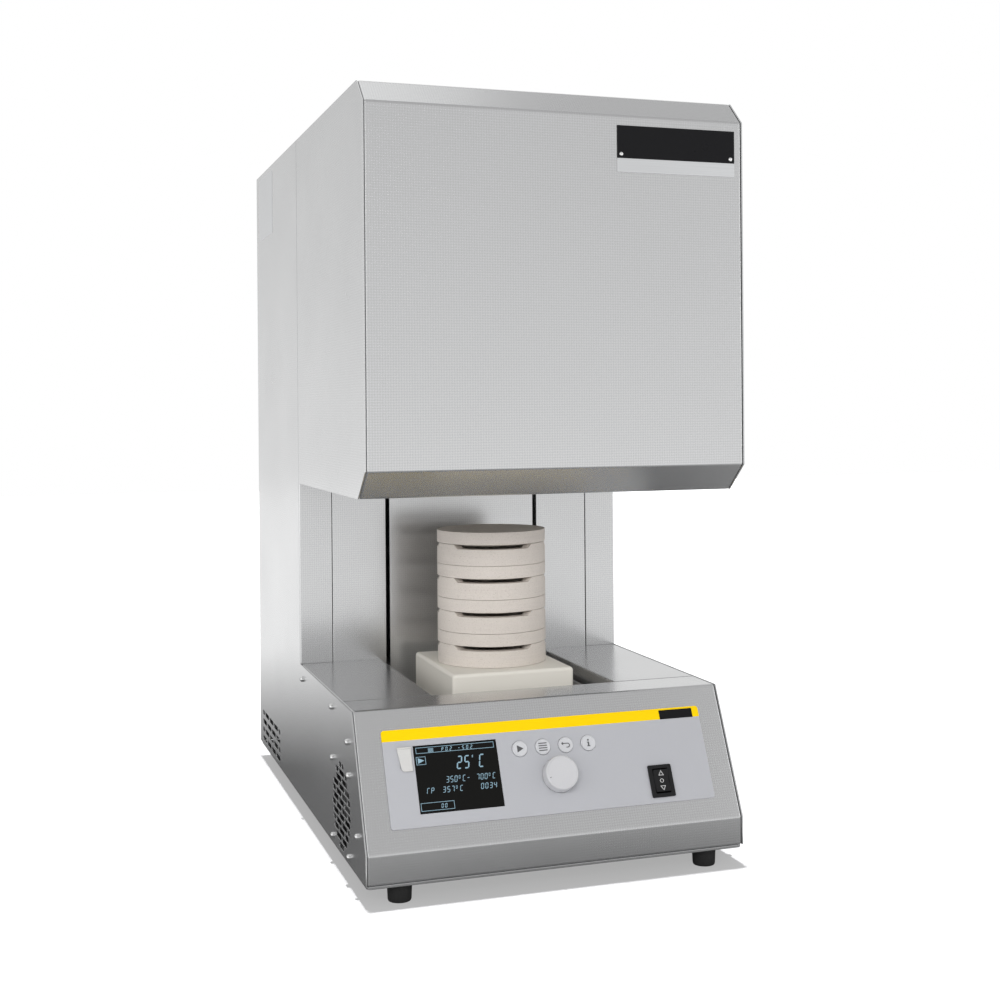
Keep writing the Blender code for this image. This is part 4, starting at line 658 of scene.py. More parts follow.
def wire_grit(wiring: Wiring, given: bpy.types.NodeInputs) -> dict[str, bpy.types.NodeSocket]:
    """Grains and pores of a fired or moulded surface.

    Args:
        wiring: The group's wiring.
        given: The group's inputs.

    Returns:
        The group's outputs.
    """
    grain = wiring.node("TexNoise", {"Vector": given["Vector"], "Scale": given["Grains"], "Detail": 5.0})
    pits = wiring.node(
        "TexVoronoi",
        {"Vector": given["Vector"], "Scale": given["Pores"], "Randomness": 1.0},
        feature="F1",
    )
    pore = wiring.ramp(pits.outputs["Distance"], 0.10, 0.22, 1.0, 0.0)
    height = wiring.maths("SUBTRACT", wiring.ramp(grain.outputs[0], 0.3, 0.7), pore)
    return {"Height": height, "Tone": wiring.ramp(grain.outputs[0], 0.35, 0.65), "Pore": pore}


class Effect(Enum):
    """Shared surface effects, each one node group."""

    LINEN = "linen"
    BRUSHED = "brushed"
    CLOUD = "cloud"
    GRIT = "grit"

    def tree(self) -> bpy.types.NodeTree:
        """The effect's node group, built at its first use."""
        found = bpy.data.node_groups.get(self.value)
        if found:
            return found
        inputs, outputs, wire = EFFECTS[self]
        tree = bpy.data.node_groups.new(self.value, "ShaderNodeTree")
        tree.interface.new_socket("Vector", in_out="INPUT", socket_type="NodeSocketVector")
        for name, value in inputs.items():
            made = tree.interface.new_socket(name, in_out="INPUT", socket_type="NodeSocketFloat")
            made.default_value = value
        for name in outputs:
            tree.interface.new_socket(name, in_out="OUTPUT", socket_type="NodeSocketFloat")
        wiring = Wiring(tree)
        source, sink = wiring.node("NodeGroupInput"), wiring.node("NodeGroupOutput")
        for name, socket in wire(wiring, source.outputs).items():
            wiring.feed(sink.inputs[name], socket)
        return tree


EFFECTS: dict[Effect, tuple[dict[str, float], tuple[str, ...], Callable]] = {
    Effect.LINEN: ({}, ("Height", "Tone"), wire_linen),
    Effect.BRUSHED: ({}, ("Height", "Tone"), wire_brushed),
    Effect.CLOUD: ({"Patches": 8.0}, ("Patch",), wire_cloud),
    Effect.GRIT: ({"Grains": 900.0, "Pores": 500.0}, ("Height", "Tone", "Pore"), wire_grit),
}


def shaded(color: Color, share: float) -> Color:
    """A colour made lighter or darker.

    Args:
        color: The colour.
        share: The share that is left of it.

    Returns:
        The changed colour.
    """
    return tuple(min(c * share, 1.0) for c in color)


@dataclass(frozen=True)
class Finish:
    """A surface finish, wired once as a material.

    Args:
        name: The material's name.
        color: Its linear colour.
        roughness: Its middle roughness.
        unrolled: Whether its pattern follows the sheet map.
    """

    name: str
    color: Color
    roughness: float
    unrolled: bool = False

    def material(self) -> bpy.types.Material:
        """The finish as a material, made at its first use."""
        found = bpy.data.materials.get(self.name)
        if found:
            return found
        made = bpy.data.materials.new(self.name)
        made.use_nodes = True
        made.diffuse_color = (*self.color, 1.0)
        wiring = Wiring(made.node_tree)
        shader = made.node_tree.nodes["Principled BSDF"]
        self.dress(wiring, shader.inputs, wiring.place(self.unrolled))
        return made

    def dress(self, wiring: Wiring, shader: bpy.types.NodeInputs, where: bpy.types.NodeSocket) -> None:
        """Wires the finish."""
        raise NotImplementedError

    @staticmethod
    def bump(
        wiring: Wiring,
        shader: bpy.types.NodeInputs,
        height: object,
        depth: float,
    ) -> None:
        """Raises a height from the surface."""
        made = wiring.node("Bump", {"Strength": 1.0, "Distance": depth, "Height": height})
        wiring.feed(shader["Normal"], made.outputs["Normal"])


@dataclass(frozen=True)
class Steel(Finish):
    """Bare metal with a grain.

    Args:
        grain: The grain's effect.
        contrast: How much darker the grain's valleys are: painted shade of the relief on the linen sheet, the
            scratches' own tone on brushed metal.
        relief: How deep the grain is, in metres.
        metallic: How much of it mirrors and doesn't scatter.
    """

    grain: Effect = Effect.LINEN
    contrast: float = 0.10
    relief: float = 0.00001
    metallic: float = 1.0

    def dress(self, wiring: Wiring, shader: bpy.types.NodeInputs, where: bpy.types.NodeSocket) -> None:
        """Wires the metal.

        Args:
            wiring: The material's wiring.
            shader: The shader's inputs.
            where: The coordinates.
        """
        shader["Metallic"].default_value = self.metallic
        grain = wiring.effect(self.grain, Vector=where)
        cloud = wiring.effect(Effect.CLOUD, Vector=where, Patches=7.0)
        # Grain tone: on the linen sheet this paints shade into the relief's valleys; on brushed metal it is
        # the scratches' own tone.
        tone = wiring.mixed(grain["Tone"], shaded(self.color, 1 - self.contrast), shaded(self.color, 1.03))
        wiring.feed(shader["Base Color"], tone)
        soft = wiring.ramp(cloud["Patch"], 0.0, 1.0, self.roughness * 0.88, self.roughness * 1.12)
        wiring.feed(shader["Roughness"], soft)
        self.bump(wiring, shader, grain["Height"], self.relief)


@dataclass(frozen=True)
class Ceramic(Finish):
    """Fired ceramic or pressed fibre: grains, pores and faint layers.

    Args:
        dark: The colour mixed into its pores, where the surface also dips.
        pores: How many pores lie along a metre.
        grains: How many grains lie along a metre.
        relief: How rough it feels, in metres.
        layers: How strongly its layers show.
    """

    dark: Color = (0.3, 0.25, 0.2)
    pores: float = 420.0
    grains: float = 800.0
    relief: float = 0.0001
    layers: float = 0.25

    def dress(self, wiring: Wiring, shader: bpy.types.NodeInputs, where: bpy.types.NodeSocket) -> None:
        """Wires the ceramic.

        Args:
            wiring: The material's wiring.
            shader: The shader's inputs.
            where: The coordinates.
        """
        shader["Roughness"].default_value = self.roughness
        shader["Specular IOR Level"].default_value = 0.25
        grit = wiring.effect(Effect.GRIT, Vector=where, Grains=self.grains, Pores=self.pores)
        cloud = wiring.effect(Effect.CLOUD, Vector=where, Patches=22.0)
        layer = wiring.noise(wiring.stretched(where, (14.0, 14.0, 900.0)), 1.0, 3.0)
        light = wiring.mixed(grit["Tone"], shaded(self.color, 0.94), shaded(self.color, 1.03))
        layered = wiring.mixed(
            wiring.ramp(layer, 0.40, 0.72, 0.0, self.layers), light, shaded(self.color, 0.86)
        )
        patched = wiring.mixed(
            wiring.ramp(cloud["Patch"], 0.0, 1.0, 0.0, 0.35), layered, shaded(self.color, 0.93)
        )
        pitted = wiring.mixed(wiring.ramp(grit["Pore"], 0.0, 1.0, 0.0, 0.45), patched, self.dark)
        wiring.feed(shader["Base Color"], pitted)
        height = wiring.maths("ADD", grit["Height"], wiring.maths("MULTIPLY", layer, self.layers * 2))
        self.bump(wiring, shader, height, self.relief)


@dataclass(frozen=True)
class Moulded(Finish):
    """Moulded plastic, rubber, foil or paint: a fine grain and a little unevenness.

    Args:
        grains: How many grains lie along a metre.
        relief: How deep the grain is, in metres.
        coat: How much clear lacquer lies on it.
        variation: How much its colour wanders.
        gloss: How strongly its surface mirrors.
    """

    grains: float = 1500.0
    relief: float = 0.00002
    coat: float = 0.0
    variation: float = 0.06
    gloss: float = 0.5

    def dress(self, wiring: Wiring, shader: bpy.types.NodeInputs, where: bpy.types.NodeSocket) -> None:
        """Wires the moulded surface.

        Args:
            wiring: The material's wiring.
            shader: The shader's inputs.
            where: The coordinates.
        """
        shader["Specular IOR Level"].default_value = self.gloss
        shader["Coat Weight"].default_value = self.coat
        shader["Coat Roughness"].default_value = 0.1
        grit = wiring.effect(Effect.GRIT, Vector=where, Grains=self.grains, Pores=self.grains / 2)
        cloud = wiring.effect(Effect.CLOUD, Vector=where, Patches=30.0)
        light = wiring.mixed(grit["Tone"], shaded(self.color, 1 - self.variation), shaded(self.color, 1.02))
        patched = wiring.mixed(cloud["Patch"], light, shaded(self.color, 1 - self.variation / 2))
        wiring.feed(shader["Base Color"], patched)
        soft = wiring.ramp(cloud["Patch"], 0.0, 1.0, self.roughness * 0.9, self.roughness * 1.15)
        wiring.feed(shader["Roughness"], soft)
        self.bump(wiring, shader, grit["Tone"], self.relief)


@dataclass(frozen=True)
class Glow(Finish):
    """Lit segments of a display.

    Args:
        strength: How bright they are.
    """

    strength: float = 0.9

    def dress(self, wiring: Wiring, shader: bpy.types.NodeInputs, where: bpy.types.NodeSocket) -> None:
        """Wires the light.

        Args:
            wiring: The material's wiring.
            shader: The shader's inputs.
            where: The coordinates.
        """
        shader["Base Color"].default_value = (0.02, 0.03, 0.04, 1.0)
        shader["Roughness"].default_value = self.roughness
        shader["Emission Strength"].default_value = self.strength
        cloud = wiring.effect(Effect.CLOUD, Vector=where, Patches=260.0)
        wiring.feed(
            shader["Emission Color"], wiring.mixed(cloud["Patch"], shaded(self.color, 0.8), self.color)
        )


# Its contrast paints shade into the linen's valleys, which the faint bump alone does not show.
LINEN_STEEL = Steel(
    "linen_steel", (0.62, 0.624, 0.628), 0.245, True, contrast=0.10, relief=0.000004, metallic=0.88
)
INNER_STEEL = Steel("inner_steel", (0.42, 0.42, 0.43), 0.42, False, Effect.BRUSHED, 0.14, 0.000008)
MACHINED_STEEL = Steel("machined_steel", (0.56, 0.56, 0.57), 0.26, False, Effect.BRUSHED, 0.10, 0.000006)
SCREW_STEEL = Steel("screw_steel", (0.86, 0.86, 0.86), 0.14, False, Effect.BRUSHED, 0.06, 0.000003)
BARE_FOIL = Steel("bare_foil", (0.72, 0.73, 0.74), 0.34, False, Effect.BRUSHED, 0.05, 0.000003)
PLUG_CERAMIC = Ceramic(
    "plug_ceramic", (0.90, 0.865, 0.815), 0.85, False, (0.45, 0.39, 0.32), 300.0, 600.0, 0.00012, 0.10
)
POT_CERAMIC = Ceramic(
    "pot_ceramic", (0.70, 0.645, 0.59), 0.9, False, (0.36, 0.30, 0.25), 520.0, 900.0, 0.00014, 0.32
)
FIBRE = Ceramic(
    "pressed_fibre", (0.84, 0.82, 0.77), 0.95, False, (0.55, 0.5, 0.42), 260.0, 420.0, 0.0004, 0.30
)
DARK_CERAMIC = Ceramic(
    "dark_ceramic", (0.11, 0.10, 0.10), 0.6, False, (0.03, 0.03, 0.03), 600.0, 1500.0, 0.00005, 0.2
)
OVERLAY_GREY = Moulded(
    "overlay_grey", (0.445, 0.45, 0.475), 0.42, grains=2600.0, relief=0.000008, variation=0.03, gloss=0.3
)
OVERLAY_YELLOW = Moulded(
    "overlay_yellow", (0.95, 0.64, 0.0), 0.40, grains=2600.0, relief=0.000006, variation=0.02, gloss=0.12
)
PRINT_GREY = Moulded("print_grey", (0.085, 0.085, 0.09), 0.45, grains=3000.0, relief=0.000004)
PRINT_WHITE = Moulded("print_white", (0.72, 0.72, 0.72), 0.45, grains=3000.0, relief=0.000004)
BUTTON_GREY = Moulded("button_grey", (0.58, 0.585, 0.605), 0.38, relief=0.00001, variation=0.03)
DIAL_SILVER = Moulded("dial_silver", (0.56, 0.56, 0.575), 0.35, relief=0.000004, coat=0.2, variation=0.02)
FLAP_WHITE = Moulded("flap_white", (0.60, 0.595, 0.58), 0.45, relief=0.00001, variation=0.03)
BLACK_PLASTIC = Moulded(
    "black_plastic", (0.014, 0.014, 0.015), 0.42, relief=0.00003, variation=0.2, gloss=0.3
)
SWITCH_BLACK = Moulded(
    "switch_black", (0.012, 0.012, 0.013), 0.36, grains=2400.0, relief=0.00002, variation=0.2, gloss=0.2
)
PLATE_BLACK = Moulded("plate_black", (0.008, 0.008, 0.009), 0.30, grains=3000.0, relief=0.000006, gloss=0.12)
RUBBER = Moulded("foot_rubber", (0.016, 0.016, 0.017), 0.72, grains=1100.0, relief=0.00006, variation=0.25)
BOARD_GREEN = Moulded("board_green", (0.02, 0.13, 0.06), 0.4, relief=0.00003, coat=0.5, variation=0.15)
DISPLAY_BLACK = Moulded(
    "display_black", (0.006, 0.006, 0.0055), 0.2, grains=800.0, relief=0.000002, gloss=0.12
)
SEGMENT_BLUE = Glow("segment_blue", (0.42, 0.66, 0.80), 0.3, strength=0.72)


class Slot(Enum):
    """The record's material slots."""

    SHEET = "textured_steel"
    INNER = "inner_steel"
    MACHINED = "machined_steel"
    PLUG = "plug_ceramic"
    SAGGER = "sagger_ceramic"
    FIBRE = "fibre_insulation"
    ELEMENT = "element_ceramic"
    FOIL = "overlay_foil"
    GLASS = "display_glass"
    BUTTON = "button_plastic"
    DIAL = "dial_plastic"
    FLAP = "flap_plastic"
    BLACK = "black_plastic"
    BOARD = "circuit_board"
    RUBBER = "foot_rubber"


def finished(
    name: str,
    shape: Shape,
    finishes: Finish | Sequence[Finish],
    body: str = "housing",
    replaces: Sequence[str] = (),
    edge: float = 0.0,
) -> bpy.types.Object:
    """Turns a shape into a piece of the furnace.

    Args:
        name: The piece's name.
        shape: Its shape, in place, which is used up.
        finishes: Its finish, or one for each material number of its faces.
        body: The body that it rides on.
        replaces: The nodes that it stands for.
        edge: How far its sharp edges are rounded.

    Returns:
        The piece.
    """
    shape.unrolled()
    made = shape.loose(name)
    for finish in [finishes] if isinstance(finishes, Finish) else finishes:
        made.data.materials.append(finish.material())
    made.data.shade_smooth()
    made.data.set_sharp_from_angle(angle=SHARP_ANGLE)
    if edge:
        step = made.modifiers.new("edge", "BEVEL")
        step.width, step.segments, step.limit_method = edge, 2, "ANGLE"
        step.angle_limit = SHARP_ANGLE
        step.use_clamp_overlap = True
    step = made.modifiers.new("flats", "WEIGHTED_NORMAL")
    step.keep_sharp = True
    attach(made, body)
    if replaces:
        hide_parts(*replaces)
    LOG.info("%s on %s, %d faces", name, body, len(made.data.polygons))
    return made


def sheet_piece(name: str, shape: Shape, node: str, edge: float = SHEET_EDGE) -> None:
    """Makes a piece of patterned sheet that stands for one node.

    Args:
        name: The piece's name.
        shape: Its shape.
        node: The node that it replaces.
        edge: How far its edges are broken.
    """
    finished(name, shape, LINEN_STEEL, replaces=[node], edge=edge)


@dataclass(frozen=True)
class Envelope:
    """The planes of the housing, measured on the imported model."""

    half_width: float
    inset_half_width: float
    sheet: float
    lip_y: float
    strip_y: float
    strip_rear_y: float
    column_y: float
    rear_y: float
    rear_panel_y: float
    front_y: float
    panel_z: float
    fold_z: float
    deck_z: float
    head_z: float
    top_z: float

    @classmethod
    def measured(
        cls,
        lip_height: float = 0.0256,
        slope_run: float = 0.0546,
        seam_fill: float = 0.0003,
    ) -> "Envelope":
        """Reads the planes off the nodes.

        Args:
            lip_height: How high the console's lip is, which no box shows.
            slope_run: How far the console's slope runs back, which no box shows.
            seam_fill: How much of the seam beside the inset sheets their folds fill.

        Returns:
            The planes.
        """
        side, head = span("left_side_panel"), span("head_left_panel")
        return cls(
            half_width=-side.low.x,
            inset_half_width=span("front_console").high.x + seam_fill,
            sheet=head.size.x,
            lip_y=side.low.y,
            strip_y=side.low.y + slope_run,
            strip_rear_y=span("front_console").high.y,
            column_y=span("column_front_panel").low.y,
            rear_y=side.high.y,
            rear_panel_y=span("rear_panel").high.y,
            front_y=head.low.y,
            panel_z=side.low.z,
            fold_z=side.low.z + lip_height,
            deck_z=span("base_deck").high.z,
            head_z=head.low.z,
            top_z=side.high.z,
        )

    @property
    def slope(self) -> Matrix:
        """Axes on the console's slope: right of the middle, up from the lip's fold, out of the sheet."""
        up = Vector((0, self.strip_y - self.lip_y, self.deck_z - self.fold_z))
        return facing(Vector((0, self.lip_y, self.fold_z)), Vector((0, -up.z, up.y)), up)

    def side(self, side: int, y: float, z: float) -> Matrix:
        """Axes on a side panel."""
        return facing(Vector((side * self.half_width, y, z)), X * side, Z)

    def rear(self, x: float, z: float) -> Matrix:
        """Axes on the rear panel."""
        return facing(Vector((x, self.rear_panel_y, z)), Y, Z)


@dataclass
class Screws:
    """Dome-headed socket screws.

    Args:
        radius: The head's radius.
        height: How proud the head is.
        socket: The hexagon's radius.
        sink: How deep the hexagon is.
        rim_share: How high the dome's lower edge lies, as a share of the height.
        dome_turns: The angles of the dome's rings above its lower edge.
        crown_share: How wide the flat crown is, as a share of the radius.
    """

    radius: float = 0.0028
    height: float = 0.0032
    socket: float = 0.0013
    sink: float = 0.0012
    rim_share: float = 0.35
    dome_turns: tuple[float, ...] = (0, 0.3, 0.6, 0.95, 1.25)
    crown_share: float = 0.18

    def head(self) -> Shape:
        """One head on the XY plane."""
        r, h, rim = self.radius, self.height, self.rim_share
        ring = [(r * math.cos(a), h * (rim + (1 - rim) * math.sin(a))) for a in self.dome_turns]
        profile = [(0, 0), (r, 0), *ring, (r * self.crown_share, h), (0, h)]
        hexagon = Shape.disc(self.socket, 6).raised(self.height, self.height - self.sink)
        return Shape.turned(profile, 24).cut(hexagon)

    def fitted(self, name: str, places: Sequence[Matrix]) -> bpy.types.Object:
        """A group of screws as one piece."""
        heads = Shape().joined(*(self.head().moved(place) for place in places))
        return finished(name, heads, SCREW_STEEL)


@dataclass
class Slots:
    """Rows of staggered slots with round ends.

    Args:
        length: A slot's length.
        height: A slot's height.
        web: The metal between slots.
        least_share: How long the shortest slot is, as a share of the height.
    """

    length: float
    height: float
    web: float
    least_share: float = 1.2

    def _row(self, low: float, high: float, level: float, start: float) -> list[Shape]:
        """The cutters of one row.

        Args:
            low: Where the row begins.
            high: Where it ends.
            level: Its height.
            start: Where its first slot would begin.

        Returns:
            The cutters.
        """
        made = []
        while start < high:
            left, right = max(start, low), min(start + self.length, high)
            if right - left > self.height * self.least_share:
                flat = Shape.rectangle(right - left, self.height, ((left + right) / 2, level))
                made.append(flat.rounded(self.height / 2 * ROUND_END_SHARE, 5).cutter())
            start += self.length + self.web
        return made

    def field(self, width: float, rows: int) -> Shape:
        """The cutters of a rectangular field about the origin.

        Args:
            width: How wide the field is.
            rows: How many rows it has.

        Returns:
            The cutters.
        """
        made = []
        for row in range(rows):
            level = (row - (rows - 1) / 2) * (self.height + self.web)
            start = -width / 2 - (row % 2) * (self.length + self.web) / 2
            made += self._row(-width / 2, width / 2, level, start)
        return Shape().joined(*made)

    def round_field(self, radius: float) -> Shape:
        """The cutters that fill a circle about the origin.

        Args:
            radius: The circle's radius.

        Returns:
            The cutters.
        """
        pitch = self.length + self.web
        rows = int(2 * radius / (self.height + self.web))
        made = []
        for row in range(rows):
            level = (row - (rows - 1) / 2) * (self.height + self.web)
            half = math.sqrt(max(radius**2 - (abs(level) + self.height / 2) ** 2, 0.0))
            start = (row % 2 - 1) * pitch / 2 - math.ceil(radius / pitch) * pitch
            made += self._row(-half, half, level, start)
        return Shape().joined(*made)


@dataclass
class BaseShell:
    """The base plate on its feet, the side sheets, the rear panel, the column's front and the deck."""

    envelope: Envelope
    fold: float = 0.010
    bend: float = 0.0022
    plate_edge: float = 0.0006
    plate_corner: float = 0.004
    foot_shares: tuple[Point, ...] = (
        *((0.0, 0.30), (0.28, 0.30), (0.30, 0.0), (0.88, 0.0), (0.93, 0.10)),
        *((0.97, 0.80), (1.0, 0.84), (1.0, 1.0), (0.0, 1.0)),
    )
    deck_bend_share: float = 0.8
    column_flange: float = 0.034
    flange_steps: int = 6
    fan_field: float = 0.0400
    fan_screw_half: float = 0.03575
    rear_field: float = 0.125
    rear_field_rows: int = 4
    rear_field_from_rear: float = 0.082
    rear_field_z: float = 0.0415
    vent_field: float = 0.170
    vent_rows: int = 3
    vent_below_top: float = 0.080
    well_half_width: float = 0.0895
    arm_slot: float = 0.0045
    foil_y: Point = (0.177, 0.275)
    foil_z: Point = (0.618, 0.689)
    foil_corner: float = 0.002
    foil_height: float = 0.0002
    side_screw_places: tuple[Point, ...] = (
        (0.0033, 0.1423), (-0.1489, 0.1434), (-0.2183, 0.1255), (-0.2568, 0.0527)
    )
    rear_screw_inset: float = 0.012
    rear_screw_rows: int = 4
    inlet_lap: float = 0.006
    slot_above_floor: float = 0.006
    slot_below_top: float = 0.020
    arm: float = 0.0015
    fan_slots: Slots = field(default_factory=lambda: Slots(0.0233, 0.005, 0.0016))
    rear_slots: Slots = field(default_factory=lambda: Slots(0.0275, 0.0055, 0.0045))
    vent_slots: Slots = field(default_factory=lambda: Slots(0.034, 0.005, 0.008))
    screws: Screws = field(default_factory=Screws)

    def build(self) -> None:
        """Makes every piece of the shell."""
        self.base_plate()
        self.feet()
        for side in (1, -1):
            self.side_panel(side)
        self.side_screws()
        self.rear_panel()
        self.column_front()
        self.deck()
        self.foil_plate()

    def base_plate(self) -> None:
        """The plate under everything, with soft corners."""
        room = span("base_plate")
        plate = Shape.rectangle(room.size.x, room.size.y).rounded(self.plate_corner)
        plate.raised(room.size.z).moved(shift(0, room.centre.y, room.low.z))
        sheet_piece("base_plate_sheet", plate, "base_plate", self.plate_edge)

    def feet(self) -> None:
        """Rubber feet with a rounded sole, a waist line and a sunk screw."""
        for corner in ("front_left", "front_right", "rear_left", "rear_right"):
            room = span("foot_" + corner)
            profile = [(room.size.x / 2 * a, room.size.z * b) for a, b in self.foot_shares]
            foot = Shape.turned(profile, 40, rounding=0.0005)
            foot.moved(shift(room.centre.x, room.centre.y, 0))
            finished(f"rubber_foot_{corner}", foot, RUBBER, replaces=["foot_" + corner])

    def side_panel(self, side: int) -> None:
        """One sheet: the base's side and the column's, with the column's flange bent round to the front.

        Args:
            side: 1 for the right, -1 for the left.
        """
        e = self.envelope
        turn_y = e.column_y + self.bend
        outline = [(e.rear_y, e.panel_z), (e.lip_y, e.panel_z), (e.lip_y, e.fold_z), (e.strip_y, e.deck_z)]
        outline += [(turn_y, e.deck_z), (turn_y, e.top_z), (e.rear_y, e.top_z)]
        panel = Shape.outline(outline).moved(upright(e.half_width))
        self._bend_flange(panel, turn_y)
        panel.outward(X).thickened(e.sheet)
        holes = self.rear_slots.field(self.rear_field, self.rear_field_rows)
        holes.moved(e.side(1, e.rear_y - self.rear_field_from_rear, self.rear_field_z))
        if side < 0:
            fan = span("fan_frame").centre
            holes.joined(self.fan_slots.round_field(self.fan_field).moved(e.side(1, fan.y, fan.z)))
        panel.cut(holes)
        name = "left_side_panel" if side < 0 else "right_side_panel"
        if side < 0:
            panel.mirrored()
        sheet_piece(name.replace("_panel", "_sheet"), panel, name)

    def _bend_flange(self, panel: Shape, turn_y: float) -> None:
        """Bends the flange out of the panel's upright edge.

        Args:
            panel: The panel on the right side.
            turn_y: Where the bend starts.
        """
        e, bm = self.envelope, panel.bm
        standing = [
            edge
            for edge in bm.edges
            if all(abs(v.co.y - turn_y) < MERGE_DISTANCE for v in edge.verts)
            and max(v.co.z for v in edge.verts) > e.head_z
        ]
        turned = bmesh.ops.spin(
            bm,
            geom=standing + list(standing[0].verts),
            cent=(e.half_width - self.bend, turn_y, 0),
            axis=-Z,
            angle=math.pi / 2,
            steps=self.flange_steps,
        )
        last = [item for item in turned["geom_last"] if isinstance(item, bmesh.types.BMEdge)]
        grown = bmesh.ops.extrude_edge_only(bm, edges=last)["geom"]
        ends = [item for item in grown if isinstance(item, bmesh.types.BMVert)]
        bmesh.ops.translate(bm, verts=ends, vec=(self.bend - self.column_flange, 0, 0))

    def side_screws(self) -> None:
        """The screws that hold the side sheets, and the four round the fan."""
        e = self.envelope
        places = [e.side(side, y, z) for side in (-1, 1) for y, z in self.side_screw_places]
        self.screws.fitted("side_sheet_screws", places)
        fan, half = span("fan_frame").centre, self.fan_screw_half
        around = [e.side(-1, fan.y + a * half, fan.z + b * half) for a in (-1, 1) for b in (-1, 1)]
        self.screws.fitted("fan_screws", around)

    def rear_panel(self) -> None:
        """The rear sheet with its vents, the hole for the inlet, and the screws down its edges."""
        e, inlet = self.envelope, span("power_inlet")
        top = span("rear_panel").high.z
        line = [(e.rear_panel_y, e.panel_z), (e.rear_panel_y, top)]
        panel = Shape.bent(line, e.inset_half_width, self.fold, self.bend).thickened(e.sheet)
        vents = self.vent_slots.field(self.vent_field, self.vent_rows)
        vents.moved(e.rear(0, e.top_z - self.vent_below_top))
        hole = Shape.rectangle(inlet.size.x - self.inlet_lap, inlet.size.z - self.inlet_lap).cutter()
        panel.cut(vents, hole.moved(e.rear(inlet.centre.x, inlet.centre.z)))
        sheet_piece("rear_sheet", panel, "rear_panel")
        inset, rows = self.rear_screw_inset, self.rear_screw_rows
        half, low, high = e.inset_half_width - inset, e.panel_z + inset, top - inset
        levels = [low + (high - low) * i / (rows - 1) for i in range(rows)]
        self.screws.fitted("rear_screws", [e.rear(side * half, z) for side in (-1, 1) for z in levels])

    def column_front(self) -> None:
        """The column's front sheet with the two slots for the lift's arms."""
        e, room, arms = self.envelope, span("column_front_panel"), span("lift_table")
        line = [(e.column_y, room.high.z), (e.column_y, room.low.z)]
        panel = Shape.bent(line, room.high.x, self.fold, self.bend / 2).thickened(e.sheet)
        low, high = span("base_deck").low.z + self.slot_above_floor, room.high.z - self.slot_below_top
        arm_x = arms.high.x - (self.arm_slot - self.arm) / 2
        for side in (-1, 1):
            slot = Shape.rectangle(self.arm_slot, high - low).rounded(self.arm_slot / 2 * ROUND_END_SHARE)
            slot.cutter()
            panel.cut(slot.moved(facing(Vector((side * arm_x, e.column_y, (low + high) / 2)), -Y, Z)))
        sheet_piece("column_front_sheet", panel, "column_front_panel")

    def deck(self) -> None:
        """The deck with its well, bent from one strip, and the well's front wall."""
        e, room = self.envelope, span("base_deck")
        half, well, floor = e.inset_half_width, self.well_half_width, room.low.z + e.sheet
        line = [(-half, e.deck_z - self.fold), (-half, e.deck_z), (-well, e.deck_z), (-well, floor)]
        line += [(-x, z) for x, z in line[::-1]]
        deck = Shape.bent(line[::-1], room.size.y / 2, 0.0, self.bend * self.deck_bend_share)
        deck.moved(crosswise(room.centre.y)).outward(Z).thickened(e.sheet)
        wall = Shape.rectangle(2 * well, e.deck_z - self.bend - floor).raised(e.sheet)
        place = facing(Vector((0, room.low.y, (e.deck_z - self.bend + floor) / 2)), Y, Z)
        deck.joined(wall.moved(place))
        sheet_piece("deck_sheet", deck, "base_deck")

    def foil_plate(self) -> None:
        """The bare foil plate on the column's left side."""
        e = self.envelope
        (rear, front), (low, high) = self.foil_y, self.foil_z
        foil = Shape.rectangle(front - rear, high - low).rounded(self.foil_corner).raised(self.foil_height)
        foil.moved(e.side(-1, (rear + front) / 2, (low + high) / 2))
        finished("bare_foil_plate", foil, BARE_FOIL)


